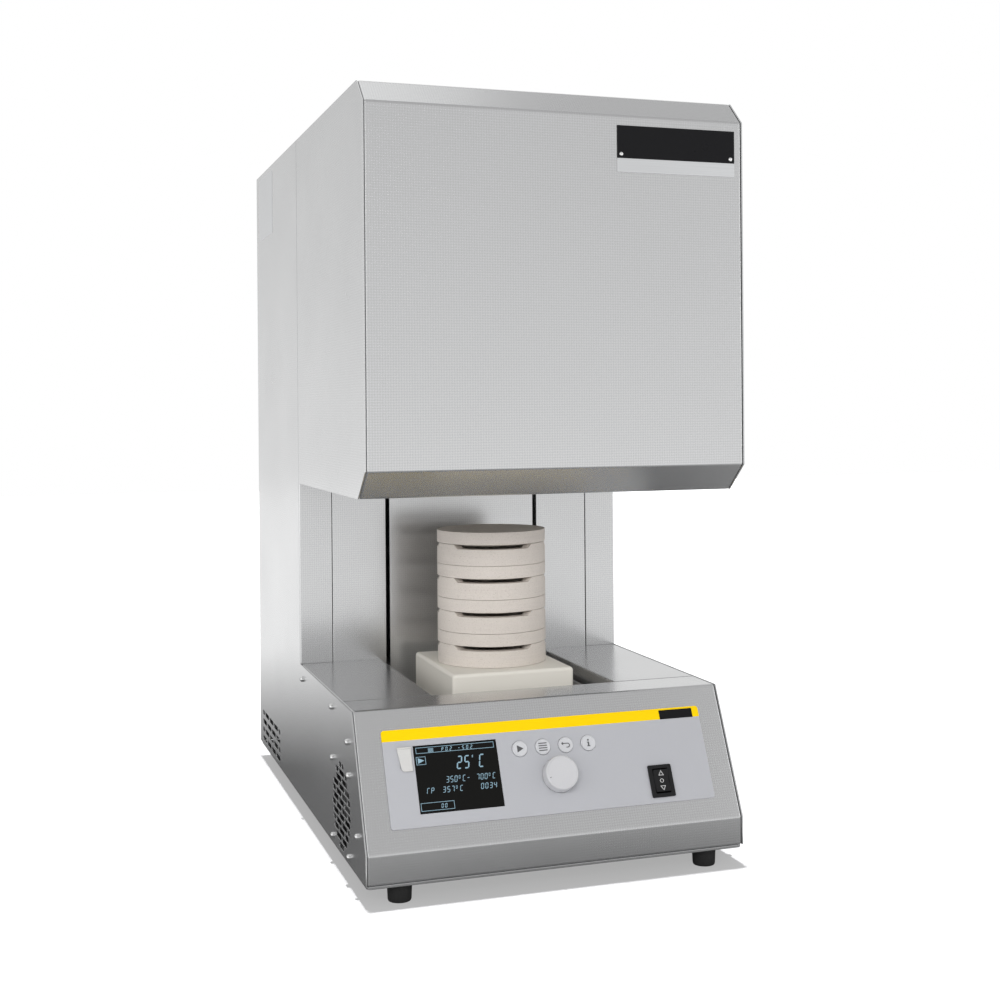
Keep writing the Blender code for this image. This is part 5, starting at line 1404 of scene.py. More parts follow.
@dataclass
class Head:
    """The head: side sheets, wrapped front, floor with the plug's opening, cover and the bare plates."""

    envelope: Envelope
    fold: float = 0.010
    bend: float = 0.0018
    side_edge: float = 0.00025
    seam: float = 0.0006
    return_depth: float = 0.015
    top_chamfer: Point = (0.0231, 0.0213)
    low_chamfer: Point = (0.0293, 0.0242)
    plug_gap: float = 0.003
    opening_corner: float = 0.0035
    exhaust_radius: float = 0.008
    vents_from_rear: float = 0.090
    plate_x: Point = (0.0526, 0.1665)
    plate_z: tuple[float, float, float] = (0.6240, 0.6365, 0.6652)
    plate_gap: float = 0.0001
    plate_height: float = 0.0008
    plate_edge: float = 0.0002
    rivet_places: tuple[Point, Point] = ((0.0564, 0.6400), (0.1625, 0.6400))
    rivet_radius: float = 0.0019
    vents: Slots = field(default_factory=lambda: Slots(0.034, 0.005, 0.008))
    vent_field: float = 0.170
    vent_rows: int = 3
    cover_screws: Screws = field(default_factory=lambda: Screws(0.0026, 0.0016))
    cover_screw_places: tuple[float, ...] = (-0.150, -0.050, 0.050, 0.150)

    def build(self) -> None:
        """Makes every piece of the head."""
        self.side_sheets()
        self.front()
        self.floor()
        self.cover()
        self.bare_plate()

    def side_sheets(self) -> None:
        """The two flat sides, cut to the head's outline."""
        e = self.envelope
        rear = e.column_y - self.seam
        (top_y, top_z), (low_y, low_z) = self.top_chamfer, self.low_chamfer
        outline = [
            (e.front_y, e.top_z - top_z),
            (e.front_y, e.head_z + low_z),
            (e.front_y + low_y, e.head_z),
            (rear, e.head_z),
            (rear, e.top_z),
            (e.front_y + top_y, e.top_z),
        ]
        for side, name in ((-1, "head_left"), (1, "head_right")):
            place = upright(side * (e.half_width - e.sheet / 2))
            sheet = Shape.outline(outline).raised(e.sheet, -e.sheet / 2).moved(place)
            sheet_piece(name + "_sheet", sheet, name + "_panel", self.side_edge)

    def front(self) -> None:
        """The front sheet, wrapped over both chamfers."""
        e = self.envelope
        (top_y, top_z), (low_y, low_z) = self.top_chamfer, self.low_chamfer
        line = [
            (e.front_y + top_y + self.return_depth, e.top_z),
            (e.front_y + top_y, e.top_z),
            (e.front_y, e.top_z - top_z),
            (e.front_y, e.head_z + low_z),
            (e.front_y + low_y, e.head_z),
            (e.front_y + low_y + self.return_depth, e.head_z),
        ]
        front = Shape.bent(line, e.inset_half_width, self.fold, self.bend).thickened(e.sheet)
        sheet_piece("head_front_sheet", front, "head_front_panel")

    def floor(self) -> None:
        """The floor sheet, open where the plug goes in."""
        e, room, plug = self.envelope, span("head_floor_plate"), span("plug_block")
        line = [(room.low.y, e.head_z), (room.high.y, e.head_z)]
        floor = Shape.bent(line, e.inset_half_width, self.fold, self.bend).thickened(e.sheet)
        opening = Shape.rectangle(plug.size.x + 2 * self.plug_gap, plug.size.y + 2 * self.plug_gap)
        opening.rounded(self.opening_corner).cutter()
        floor.cut(opening.moved(shift(0, plug.centre.y, e.head_z)))
        sheet_piece("head_floor_sheet", floor, "head_floor_plate")

    def cover(self) -> None:
        """The top cover with its vents and exhaust hole, bent down over the rear."""
        e, room = self.envelope, span("top_cover")
        line = [(e.rear_panel_y, room.low.z), (e.rear_panel_y, e.top_z), (room.low.y, e.top_z)]
        cover = Shape.bent(line, e.inset_half_width, self.fold, self.bend).thickened(e.sheet)
        vents = self.vents.field(self.vent_field, self.vent_rows)
        vents.moved(shift(0, e.rear_y - self.vents_from_rear, e.top_z))
        hole = Shape.disc(self.exhaust_radius, 40).cutter()
        hole.moved(shift(0, span("plug_block").centre.y, e.top_z))
        cover.cut(vents, hole)
        sheet_piece("top_cover_sheet", cover, "top_cover")
        level = (room.low.z + e.top_z) / 2
        self.cover_screws.fitted("cover_screws", [e.rear(x, level) for x in self.cover_screw_places])

    def bare_plate(self) -> None:
        """The bare black plate over its grey strip, on two rivets."""
        e, (left, right), (low, seam, high) = self.envelope, self.plate_x, self.plate_z
        where = facing(Vector(((left + right) / 2, e.front_y, 0)), -Y, Z)
        pieces = (
            ("bare_black_plate", seam, high, PLATE_BLACK, Slot.BLACK),
            ("bare_grey_strip", low, seam - self.plate_gap, BARE_FOIL, Slot.FOIL),
        )
        for name, bottom, top, finish, slot in pieces:
            plate = Shape.rectangle(right - left, top - bottom, (0, (top + bottom) / 2))
            plate.raised(self.plate_height)
            finished(name, plate.moved(where), finish, edge=self.plate_edge)
        rivets = [self._rivet().moved(facing(Vector((x, e.front_y, z)), -Y, Z)) for x, z in self.rivet_places]
        finished("plate_rivets", Shape().joined(*rivets), SCREW_STEEL)

    def _rivet(self) -> Shape:
        """One domed rivet head."""
        r = self.rivet_radius
        return Shape.turned([(0, 0), (r, 0), (r, 0.0010), (0.0012, 0.0018), (0, r)], 24, 0.0003)


SEGMENTS = {
    "0": "abcdef",
    "2": "abdeg",
    "3": "abcdg",
    "4": "bcfg",
    "5": "acdfg",
    "7": "abc",
    "C": "adef",
    "o": "abcdef",
    "'": "abcdef",
    "t": "aef",
    "P": "abefg",
    "-": "g",
    " ": "",
}


@dataclass(frozen=True)
class Readout:
    """A line of seven-segment signs on the display.

    Args:
        text: The signs.
        left_share: Where it begins, as a share of the glass's width from its left.
        right_share: Where it ends.
        top_share: Its top, as a share of the glass's height from the top.
        low_share: Its foot.
    """

    text: str
    left_share: float
    right_share: float
    top_share: float
    low_share: float


@dataclass
class Display:
    """The black display with its lit signs.

    Args:
        slope: The console's axes.
    """

    slope: Matrix
    width: float = 0.0752
    height: float = 0.0582
    centre: Point = (-0.0864, 0.0593)
    face: float = 0.0006
    bar: float = 0.0011
    thinnest: float = 0.00052
    print_height: float = 0.00006
    slant: float = 0.16
    lines: tuple[Readout, ...] = (
        Readout("P02 -502", 0.33, 0.73, 0.045, 0.107),
        Readout("25'C", 0.487, 0.845, 0.197, 0.395),
        Readout("350oC-", 0.341, 0.641, 0.486, 0.580),
        Readout("700oC", 0.706, 0.953, 0.490, 0.580),
        Readout("357oC", 0.288, 0.547, 0.633, 0.720),
        Readout("tP", 0.10, 0.20, 0.633, 0.720),
        Readout("0034", 0.746, 0.955, 0.633, 0.720),
        Readout("00", 0.250, 0.335, 0.875, 0.940),
    )

    def build(self) -> None:
        """Makes the glass and its signs."""
        glass = Shape.rectangle(self.width, self.height).raised(0.0135, self.face - 0.0135).soften(0.0002)
        flange = Shape.rectangle(self.width + 0.005, self.height + 0.005).raised(0.002, -0.0035)
        glass.joined(flange).moved(self._at(0, 0, 0))
        finished("display_glass", glass, DISPLAY_BLACK, replaces=["display_module"])
        signs = [self._line(line) for line in self.lines]
        signs += [
            self._frame(0.027, 0.970, 0.026, 0.116),
            self._frame(0.020, 0.133, 0.163, 0.284),
            self._frame(0.014, 0.410, 0.846, 0.966),
            self._arrow(),
            self._menu(),
        ]
        finished("display_signs", Shape().joined(*signs).moved(self._at(0, 0, 0)), SEGMENT_BLUE)

    def _at(self, right: float, up: float, out: float) -> Matrix:
        """Axes at a point of the glass."""
        return self.slope @ shift(self.centre[0] + right, self.centre[1] + up, out)

    def _point(self, across: float, down: float) -> Point:
        """A point of the glass from its shares."""
        return (across - 0.5) * self.width, (0.5 - down) * self.height

    def _flat(self, shape: Shape) -> Shape:
        """Gives a flat sign its print height on the glass."""
        return shape.raised(self.print_height, self.face)

    def _frame(self, left: float, right: float, top: float, low: float) -> Shape:
        """A rectangular frame from its shares."""
        (x0, y1), (x1, y0) = self._point(left, top), self._point(right, low)
        flat = Shape.rectangle(x1 - x0, y1 - y0, ((x0 + x1) / 2, (y0 + y1) / 2))
        return self._flat(flat.frame_only(self.bar * 0.35))

    def _arrow(self) -> Shape:
        """The play arrow."""
        left, right = self._point(0.040, 0.180), self._point(0.115, 0.265)
        tip = (right[0], (left[1] + right[1]) / 2)
        return self._flat(Shape.outline([left, (left[0], right[1]), tip]))

    def _menu(self) -> Shape:
        """Four short lines in the top bar."""
        made = []
        for i in range(4):
            x, y = self._point(0.205, 0.053 + 0.015 * i)
            made.append(self._flat(Shape.rectangle(0.0048, 0.00045, (x, y))))
        return Shape().joined(*made)

    def _line(self, line: Readout) -> Shape:
        """The signs of one line.

        Args:
            line: The line.

        Returns:
            Its lit segments.
        """
        x0, y1 = self._point(line.left_share, line.top_share)
        x1, y0 = self._point(line.right_share, line.low_share)
        height = y1 - y0
        pitch = (x1 - x0) / len(line.text)
        width = min(pitch * 0.70, height * 0.52)
        made = []
        for i, sign in enumerate(line.text):
            small = {"o": 0.55, "'": 0.22}.get(sign, 1.0)
            bar = max(height * 0.095, self.thinnest) * math.sqrt(small)
            for segment in SEGMENTS[sign]:
                part = self._segment(segment, width * small, height * small, bar)
                made.append(part.moved(shift(x0 + i * pitch, y1 - height * small, 0)))
        text = Shape().joined(*made)
        lean = Matrix.Identity(4)
        lean[0][1] = self.slant
        about = shift(0, y0, 0)
        return self._flat(text.moved(about @ lean @ about.inverted()))

    @staticmethod
    def _segment(name: str, width: float, height: float, bar: float) -> Shape:
        """One bar of a sign, with pointed ends.

        Args:
            name: Its letter.
            width: The sign's width.
            height: The sign's height.
            bar: The bar's width.

        Returns:
            The bar, flat.
        """
        half, gap = bar / 2, bar * 0.12
        level = {"a": height - half, "g": height / 2, "d": half}
        if name in level:
            middle, low, high = level[name], half, width - half
        else:
            middle = half if name in "ef" else width - half
            low, high = (height / 2, height - half) if name in "bf" else (half, height / 2)
        a, b = low + gap, high - gap
        points = [(a, middle), (a + half, middle + half), (b - half, middle + half)]
        points += [(b, middle), (b - half, middle - half), (a + half, middle - half)]
        return Shape.outline(points if name in level else [(y, x) for x, y in points])


@dataclass
class Paddle:
    """A rocker's key on its pin, with its printed signs.

    Args:
        name: The key's name.
        axis: Axes on its pin, with X along the pin and Z out.
        body: The body that it rides on, which is also its node's name.
        arrows: Whether it has arrows and a ring, and not a bar and a ring.
    """

    name: str
    axis: Matrix
    body: str
    arrows: bool
    half: float = 0.010
    rise: float = 0.0055
    dip: float = 0.0040
    width: float = 0.0142
    heel: float = 0.0035
    pin_radius: float = 0.0015
    line: float = 0.00042
    sign_middle: float = 0.0061
    arrow_reach: float = 0.0030
    bar_size: Point = (0.0008, 0.0040)
    ring_radius: float = 0.0018
    end_ring_radius: float = 0.0020
    ring_height: float = 0.0004
    ring_steps: int = 32
    print_height: float = 0.00008

    def build(self) -> None:
        """Makes the key and its signs."""
        half, rise, dip, width, pin_radius = self.half, self.rise, self.dip, self.width, self.pin_radius
        outline = [(-half, rise), (0, dip), (half, rise), (half, 0), (half / 2, -self.heel)]
        outline += [(-half / 2, -self.heel), (-half, 0)]
        key = Shape.outline(outline).raised(width, -width / 2).moved(upright())
        key.soften(0.0007, 3, math.radians(40))
        pin = Shape.disc(pin_radius, 16).raised(width + 2 * pin_radius, -width / 2 - pin_radius)
        key.joined(pin.moved(Matrix.Rotation(math.pi / 2, 4, "Y")))
        finished(self.name, key.moved(self.axis), SWITCH_BLACK, self.body, [self.body])
        tilt = math.atan2(rise - dip, half)
        lift = dip + self.sign_middle * math.tan(tilt)
        signs = []
        for end in (1, -1):
            place = shift(0, end * self.sign_middle, lift)
            place @= Matrix.Rotation(end * tilt, 4, "X")
            signs.append(self._sign(end).raised(self.print_height).moved(place))
        if self.arrows:
            ring = Shape.disc(self.ring_radius, self.ring_steps).frame_only(self.line)
            signs.append(ring.raised(self.ring_height, dip))
        printed = Shape().joined(*signs).moved(self.axis)
        finished(self.name + "_signs", printed, PRINT_WHITE, self.body)

    def _sign(self, end: int) -> Shape:
        """The flat sign of one end.

        Args:
            end: 1 for the upper end, -1 for the lower.

        Returns:
            The sign.
        """
        if self.arrows:
            turns = (math.pi / 2, math.pi * 7 / 6, math.pi * 11 / 6)
            tips = [(self.arrow_reach * math.cos(a), self.arrow_reach * math.sin(a) * end) for a in turns]
            return Shape.outline(tips).frame_only(self.line)
        if end > 0:
            return Shape.rectangle(*self.bar_size)
        return Shape.disc(self.end_ring_radius, self.ring_steps).frame_only(self.line)


@dataclass
class Console:
    """The sloped front: its sheet, the printed foil and all that sits in it."""

    envelope: Envelope
    fold: float = 0.010
    bend: float = 0.0018
    gap: float = 0.0003
    return_depth: float = 0.015
    foil_size: Point = (0.302, 0.085)
    foil_up: float = 0.0615
    foil_face: float = 0.0009
    stripe_up: float = 0.094
    port_centre: Point = (-0.1328, 0.0775)
    port_size: Point = (0.0078, 0.0150)
    button_radius: float = 0.0070
    button_pitch: float = 0.0217
    button_up: float = 0.0782
    button_top: float = 0.0020
    sign_scale: float = 1.25
    control_right: float = 0.00485
    dial_up: float = 0.0520
    dial_radius: float = 0.0155
    dial_skirt: float = 0.0020
    dial_top: float = 0.0122
    rocker_centre: Point = (0.1011, 0.0382)
    rocker_size: Point = (0.0227, 0.0290)
    hinge_up: float = 0.00945
    flap_half: float = 0.00625
    flap_low: float = -0.0202
    flap_sink: float = 0.0013
    knuckle_radius: float = 0.0010
    button_stem: Point = (0.0025, -0.0128)
    button_flange: tuple[float, float, float] = (0.0018, -0.0025, -0.0015)
    button_rim: tuple[Point, ...] = ((0.955, 0.0001), (0.90, 0.0), (0.845, 0.0002), (0.80, 0.00045))
    dial_stem: Point = (0.0030, -0.0155)
    dial_foot: tuple[Point, ...] = ((0.0012, 0.0005), (0.0010, 0.0), (0.0001, 0.0002), (0.0, 0.0006))
    dial_groove: tuple[Point, ...] = (
        *((0.0003, 0.0011), (0.0006, 0.0005), (0.0011, 0.0001), (0.0015, 0.0)),
        *((0.0018, 0.0), (0.0020, 0.0003), (0.0022, 0.0003), (0.0024, 0.0001)),
    )
    dial_mark_inset: float = 0.0036
    dial_mark_turn: float = math.radians(197)
    rocker_rim: float = 0.0028
    rocker_face: float = 0.0027
    rocker_depth: float = 0.016
    rocker_room: Point = (0.0148, 0.0224)
    rocker_room_height: float = 0.02
    rocker_room_bottom: float = -0.0070
    small_plate_x: Point = (0.1113, 0.1444)
    small_plate_up: Point = (0.0939, 0.1023)

    def build(self) -> None:
        """Makes every piece of the console."""
        self.sheet()
        self.foil()
        Display(self.envelope.slope).build()
        self.port()
        self.buttons()
        self.dial()
        self.rocker()
        self.small_plate()

    def openings(self) -> list[Shape]:
        """Cutters for everything that passes through the sheet and the foil."""
        display = Display(self.envelope.slope)
        wider = 2 * self.gap
        made = [
            Shape.rectangle(display.width + 2 * self.gap, display.height + 2 * self.gap, display.centre),
            Shape.rectangle(*(s + wider for s in self.port_size), self.port_centre),
            Shape.rectangle(*(s + wider - self.rocker_rim for s in self.rocker_size), self.rocker_centre),
            Shape.disc(0.0036, 24, (self.control_right, self.dial_up)),
        ]
        made += [Shape.disc(self.button_radius + self.gap, 48, self.button_place(i)) for i in range(4)]
        return [flat.cutter() for flat in made]

    def button_place(self, index: int) -> Point:
        """Where a button's middle is on the slope."""
        return self.control_right + (index - 1.5) * self.button_pitch, self.button_up

    def sheet(self) -> None:
        """The console's sheet: rear fold, strip, slope, lip and bottom return."""
        e = self.envelope
        line = [
            (e.strip_rear_y, e.deck_z - self.return_depth),
            (e.strip_rear_y, e.deck_z),
            (e.strip_y, e.deck_z),
            (e.lip_y, e.fold_z),
            (e.lip_y, e.panel_z),
            (e.lip_y + self.return_depth, e.panel_z),
        ]
        sheet = Shape.bent(line, e.inset_half_width, self.fold, self.bend).thickened(e.sheet)
        sheet.cut(*(cutter.moved(e.slope) for cutter in self.openings()))
        sheet_piece("console_sheet", sheet, "front_console")

    def foil(self) -> None:
        """The printed foil: grey, with a yellow stripe along its top."""
        foil = Shape.rectangle(*self.foil_size, (0, self.foil_up)).rounded(0.0025)
        bmesh.ops.bisect_plane(
            foil.bm,
            geom=foil.bm.verts[:] + foil.bm.edges[:] + foil.bm.faces[:],
            plane_co=(0, self.stripe_up, 0),
            plane_no=(0, 1, 0),
        )
        for face in foil.bm.faces:
            face.material_index = 1 if face.calc_center_median().y > self.stripe_up else 0
        foil.raised(self.foil_face - self.gap, self.gap).cut(*self.openings())
        finished(
            "printed_foil",
            foil.moved(self.envelope.slope),
            (OVERLAY_GREY, OVERLAY_YELLOW),
            replaces=["control_overlay"],
            edge=0.0001,
        )

    def port(self) -> None:
        """The port's hinged cover, with its slanted corner, finger edge and knuckle."""
        slope, (x, up) = self.envelope.slope, self.port_centre
        out = self.foil_face + self.gap + self.flap_sink
        hinge = slope @ shift(x, up + self.hinge_up, out)
        half, low = self.flap_half, self.flap_low
        outline = [(half, 0.0008), (half, low + 0.0005), (half - 0.0005, low), (-half + 0.0050, low)]
        outline += [(-half + 0.0036, low + 0.0006), (-half + 0.0026, low + 0.0020), (-half, 0.0008)]
        flap = Shape.outline(outline).raised(0.0015, -self.flap_sink).soften(0.0004, 3)
        knuckle = Shape.disc(self.knuckle_radius, 20).raised(2 * half, -half)
        knuckle.moved(Matrix.Rotation(math.pi / 2, 4, "Y")).soften(0.0002)
        flap.joined(knuckle).moved(hinge)
        finished("port_flap", flap, FLAP_WHITE, "usb_flap", ["usb_flap"])

    def buttons(self) -> None:
        """Four round caps with a raised rim, each with its printed sign."""
        nodes = ("button_start", "button_menu", "button_back", "button_info")
        signs = (self._play, self._list, self._hook, self._letter)
        r, top = self.button_radius, self.button_top
        (stem, low), (flange, under, over) = self.button_stem, self.button_flange
        profile = [(0, low), (stem, low), (stem, under), (r + flange, under), (r + flange, over), (r, over)]
        profile += [(r, top - 0.0005)]
        profile += [(r * share, top - drop) for share, drop in self.button_rim]
        profile += [(0, top - 0.0003)]
        for i, (node, sign) in enumerate(zip(nodes, signs)):
            place = self.envelope.slope @ shift(*self.button_place(i), 0)
            cap = Shape.turned(profile, 56).moved(place)
            finished(node + "_cap", cap, BUTTON_GREY, node, [node])
            mark = sign().moved(Matrix.Diagonal((self.sign_scale, self.sign_scale, 1, 1)))
            mark.raised(0.0002, top - 0.00045).moved(place)
            finished(node + "_sign", mark, PRINT_GREY, node)

    @staticmethod
    def _play() -> Shape:
        """A play arrow."""
        return Shape.outline([(-0.0020, -0.0026), (-0.0020, 0.0026), (0.0027, 0.0)]).rounded(0.0002, 2)

    @staticmethod
    def _list() -> Shape:
        """Four lines of a menu."""
        return Shape().joined(*(Shape.rectangle(0.0062, 0.0007, (0, (i - 1.5) * 0.0017)) for i in range(4)))

    @staticmethod
    def _hook() -> Shape:
        """An arrow that runs back to the left."""
        r, up = 0.0014, 0.0010
        turns = [i * math.pi / 8 for i in range(9)]
        arc = [(0.0014 + r * math.sin(a), up - r + r * math.cos(a)) for a in turns]
        line = [(-0.0028, up), *arc, (0.0002, up - 2 * r)]
        band = offset_line(line, 0.00033)
        head = Shape.outline([(-0.0034, up), (-0.0020, up + 0.0013), (-0.0020, up - 0.0013)])
        return Shape.outline(band + offset_line(line, -0.00033)[::-1]).joined(head)

    @staticmethod
    def _letter() -> Shape:
        """A lower-case i."""
        stem = Shape.rectangle(0.0011, 0.0031, (0, -0.0007))
        feet = Shape.rectangle(0.0023, 0.0006, (0, -0.0022))
        serif = Shape.rectangle(0.0006, 0.0006, (-0.0008, 0.0005))
        return stem.joined(feet, serif, Shape.disc(0.0007, 16, (0, 0.0021)))

    def dial(self) -> None:
        """The dial: a turned cap with a fine groove round its dished face and a sunk mark."""
        r, skirt, top = self.dial_radius, self.dial_skirt, self.dial_top
        stem, low = self.dial_stem
        profile = [(0, low), (stem, low), (stem, skirt + 0.0005)]
        profile += [(r - inset, skirt + rise) for inset, rise in self.dial_foot]
        profile += [(r - inset, top - drop) for inset, drop in self.dial_groove]
        profile += [(r * 0.5, top - 0.00035), (0, top - 0.00045)]
        place = self.envelope.slope @ shift(self.control_right, self.dial_up, 0)
        sunk = (r - self.dial_mark_inset, 0)
        mark = Shape.rectangle(0.0016, 0.0006, sunk).rounded(0.00025, 3).raised(0.001, top - 0.0005)
        turn = Matrix.Rotation(self.dial_mark_turn, 4, "Z")
        cap = Shape.turned(profile, 128).cut(mark.moved(turn)).moved(place)
        finished("dial_cap", cap, DIAL_SILVER, "dial_knob", ["dial_knob"])
        fill = Shape.rectangle(0.0015, 0.0005, sunk).raised(0.0001, top - 0.00045)
        finished("dial_mark", fill.moved(place @ turn), PRINT_GREY, "dial_knob")

    def rocker(self) -> None:
        """The lift's rocker: the bezel with its body, and the key in it."""
        back, face = self.foil_face + self.gap, self.rocker_face
        height, bottom = self.rocker_room_height, self.rocker_room_bottom
        rim = Shape.rectangle(*self.rocker_size).rounded(0.0014).raised(face - back, back).soften(0.0004, 3)
        rim.cut(Shape.rectangle(*self.rocker_room).rounded(0.0008).raised(height, bottom))
        body = Shape.rectangle(*(s - self.rocker_rim for s in self.rocker_size))
        body.raised(back + self.rocker_depth, -self.rocker_depth)
        body.cut(Shape.rectangle(*self.rocker_room).raised(height, bottom))
        place = self.envelope.slope @ shift(*self.rocker_centre, 0)
        bezel = rim.joined(body).moved(place)
        finished("rocker_bezel", bezel, SWITCH_BLACK, replaces=["rocker_frame"])
        axis = place @ shift(0, 0, face - Paddle.dip)
        Paddle("rocker_key", axis, "rocker_paddle", True).build()

    def small_plate(self) -> None:
        """The small bare plate on the yellow stripe."""
        (x0, x1), (y0, y1) = self.small_plate_x, self.small_plate_up
        plate = Shape.rectangle(x1 - x0, y1 - y0, ((x0 + x1) / 2, (y0 + y1) / 2))
        plate.raised(0.0003, self.foil_face)
        finished("bare_small_plate", plate.moved(self.envelope.slope), PLATE_BLACK, edge=0.0001)


@dataclass
class Lift:
    """The ceramic plug, the stack of saggers on it and the folded table below."""

    steps: int = 144
    sheet: float = 0.003
    bend: float = 0.0045
    plug_edge: float = 0.0035
    sagger_wall: float = 0.010
    sagger_floor: float = 0.004
    floor_fillet: float = 0.002
    spigot: float = 0.002
    spigot_gap: float = 0.0006
    spigot_edge: float = 0.0005
    slit_height: float = 0.0042
    slit_turn: float = math.radians(255)
    slit_floor: float = math.radians(80)
    slit_rim: float = math.radians(90)
    edge: float = 0.00025

    def build(self) -> None:
        """Makes the lift's pieces."""
        self.table()
        self.plug()
        for i in range(1, 5):
            self.sagger(i)
            self.lid(i)

    def table(self) -> None:
        """The table and its arms, folded from one sheet."""
        room = span("lift_table")
        half, top = room.high.x, room.high.z
        line = [(-half, top), (-half, room.low.z), (half, room.low.z), (half, top)]
        table = Shape.bent(line, room.size.y / 2, 0.0, self.bend).moved(crosswise(room.centre.y))
        table.outward(-Z).thickened(self.sheet)
        rear = span("column_front_panel").low.y - OVERRUN
        gone = Shape.rectangle(2 * (half - self.sheet), room.high.y - rear + OVERRUN)
        gone.raised(0.1, room.low.z - 0.05)
        table.cut(gone.moved(shift(0, (room.high.y + OVERRUN + rear) / 2, 0)))
        finished("lift_table_sheet", table, MACHINED_STEEL, "lift", ["lift_table"], 0.0002)

    def plug(self) -> None:
        """The plug: a pressed block with soft upper edges."""
        room = span("plug_block")
        block = Shape.rectangle(room.size.x, room.size.y).raised(room.size.z)
        upper = [e for e in block.bm.edges if max(v.co.z for v in e.verts) > room.size.z / 2]
        block.bevel(upper, self.plug_edge, 5)
        block.moved(shift(room.centre.x, room.centre.y, room.low.z))
        finished("ceramic_plug", block, PLUG_CERAMIC, "lift", ["plug_block"], edge=0.0004)

    def _rim_drop(self, angle: float) -> float:
        """How far the rim lies down at an angle, as a share of the slit's height.

        Args:
            angle: The angle round the pot.

        Returns:
            The share.
        """
        apart = 2 * math.pi / 3
        away = abs((angle - self.slit_turn + apart / 2) % apart - apart / 2)
        ramp = (self.slit_rim - self.slit_floor) / 2
        return min(max((self.slit_rim / 2 - away) / ramp, 0.0), 1.0)

    def sagger(self, number: int) -> None:
        """One pot, with three slits let into its rim.

        Args:
            number: Its number from the bottom.
        """
        room = span(f"sagger_{number}")
        r, h, inner = room.size.x / 2, room.size.z, room.size.x / 2 - self.sagger_wall
        rim = h - self.edge
        floor, fillet = self.sagger_floor, self.floor_fillet
        profile = [(0, 0), *eased_side(r, h, self.edge), (inner + self.edge, h), (inner, rim)]
        profile += [(inner, floor + fillet), (inner - fillet, floor), (0, floor)]
        pot = Shape.turned(profile, self.steps)
        for vert in pot.bm.verts:
            if vert.co.z > rim - MERGE_DISTANCE:
                vert.co.z -= self.slit_height * self._rim_drop(math.atan2(vert.co.y, vert.co.x))
        pot.moved(shift(room.centre.x, room.centre.y, room.low.z))
        finished(f"sagger_pot_{number}", pot, POT_CERAMIC, "sagger_stack", [f"sagger_{number}"])

    def lid(self, number: int) -> None:
        """One lid with its spigot.

        Args:
            number: Its number from the bottom.
        """
        node = f"sagger_lid_{number}"
        room = span(node)
        r, h, edge = room.size.x / 2, room.size.z - self.spigot, self.edge
        spigot, foot = r - self.sagger_wall - self.spigot_gap, self.spigot_edge
        low = -self.spigot
        profile = [(0, low), (spigot - foot, low), (spigot, low + foot), (spigot, 0)]
        profile += [*eased_side(r, h, edge), (0, h)]
        lid = Shape.turned(profile, self.steps)
        lid.moved(shift(room.centre.x, room.centre.y, room.low.z + self.spigot))
        body = "top_lid" if number == 4 else "sagger_stack"
        finished(f"sagger_cover_{number}", lid, POT_CERAMIC, body, [node])


@dataclass
class Drive:
    """The lead screw with its thread.

    Args:
        pitch: How far the nut moves in a turn.
        thread: How deep the thread is.
    """

    pitch: float = 0.008
    thread: float = 0.0009

    def build(self) -> None:
        """Makes the threaded screw."""
        room, carriage = span("lead_screw"), span("lower_bearing_plate")
        collar_r, radius, steps = room.size.x / 2, 0.007, 16
        low, start = room.low.z, carriage.high.z + 0.0063
        end = span("upper_bearing_plate").low.z - 0.001
        core = radius - self.thread
        profile = [
            (0, low), (radius, low), (radius, carriage.high.z + 0.0003), (collar_r, carriage.high.z + 0.0003)
        ]
        profile += [(collar_r, start), (core, start), (core, end), (radius, end)]
        profile += [(radius, room.high.z), (0, room.high.z)]
        screw = Shape.turned(profile, 32)
        ridge = Shape()
        flank = self.pitch * 0.28
        points = [
            (core - 0.0003, -flank), (radius, -flank * 0.45), (radius, flank * 0.45), (core - 0.0003, flank)
        ]
        verts = [ridge.bm.verts.new((r, 0, start + self.pitch * 0.4 + z)) for r, z in points]
        face = ridge.bm.faces.new(verts)
        turns = int((end - start - self.pitch * 0.8) / self.pitch)
        bmesh.ops.spin(
            ridge.bm,
            geom=[face],
            cent=(0, 0, 0),
            axis=Z,
            dvec=(0, 0, self.pitch / steps),
            angle=2 * math.pi * turns,
            steps=steps * turns,
        )
        ridge.outward()
        screw.joined(ridge).moved(shift(room.centre.x, room.centre.y, 0))
        finished("threaded_screw", screw, MACHINED_STEEL, "lead_screw", ["lead_screw"])


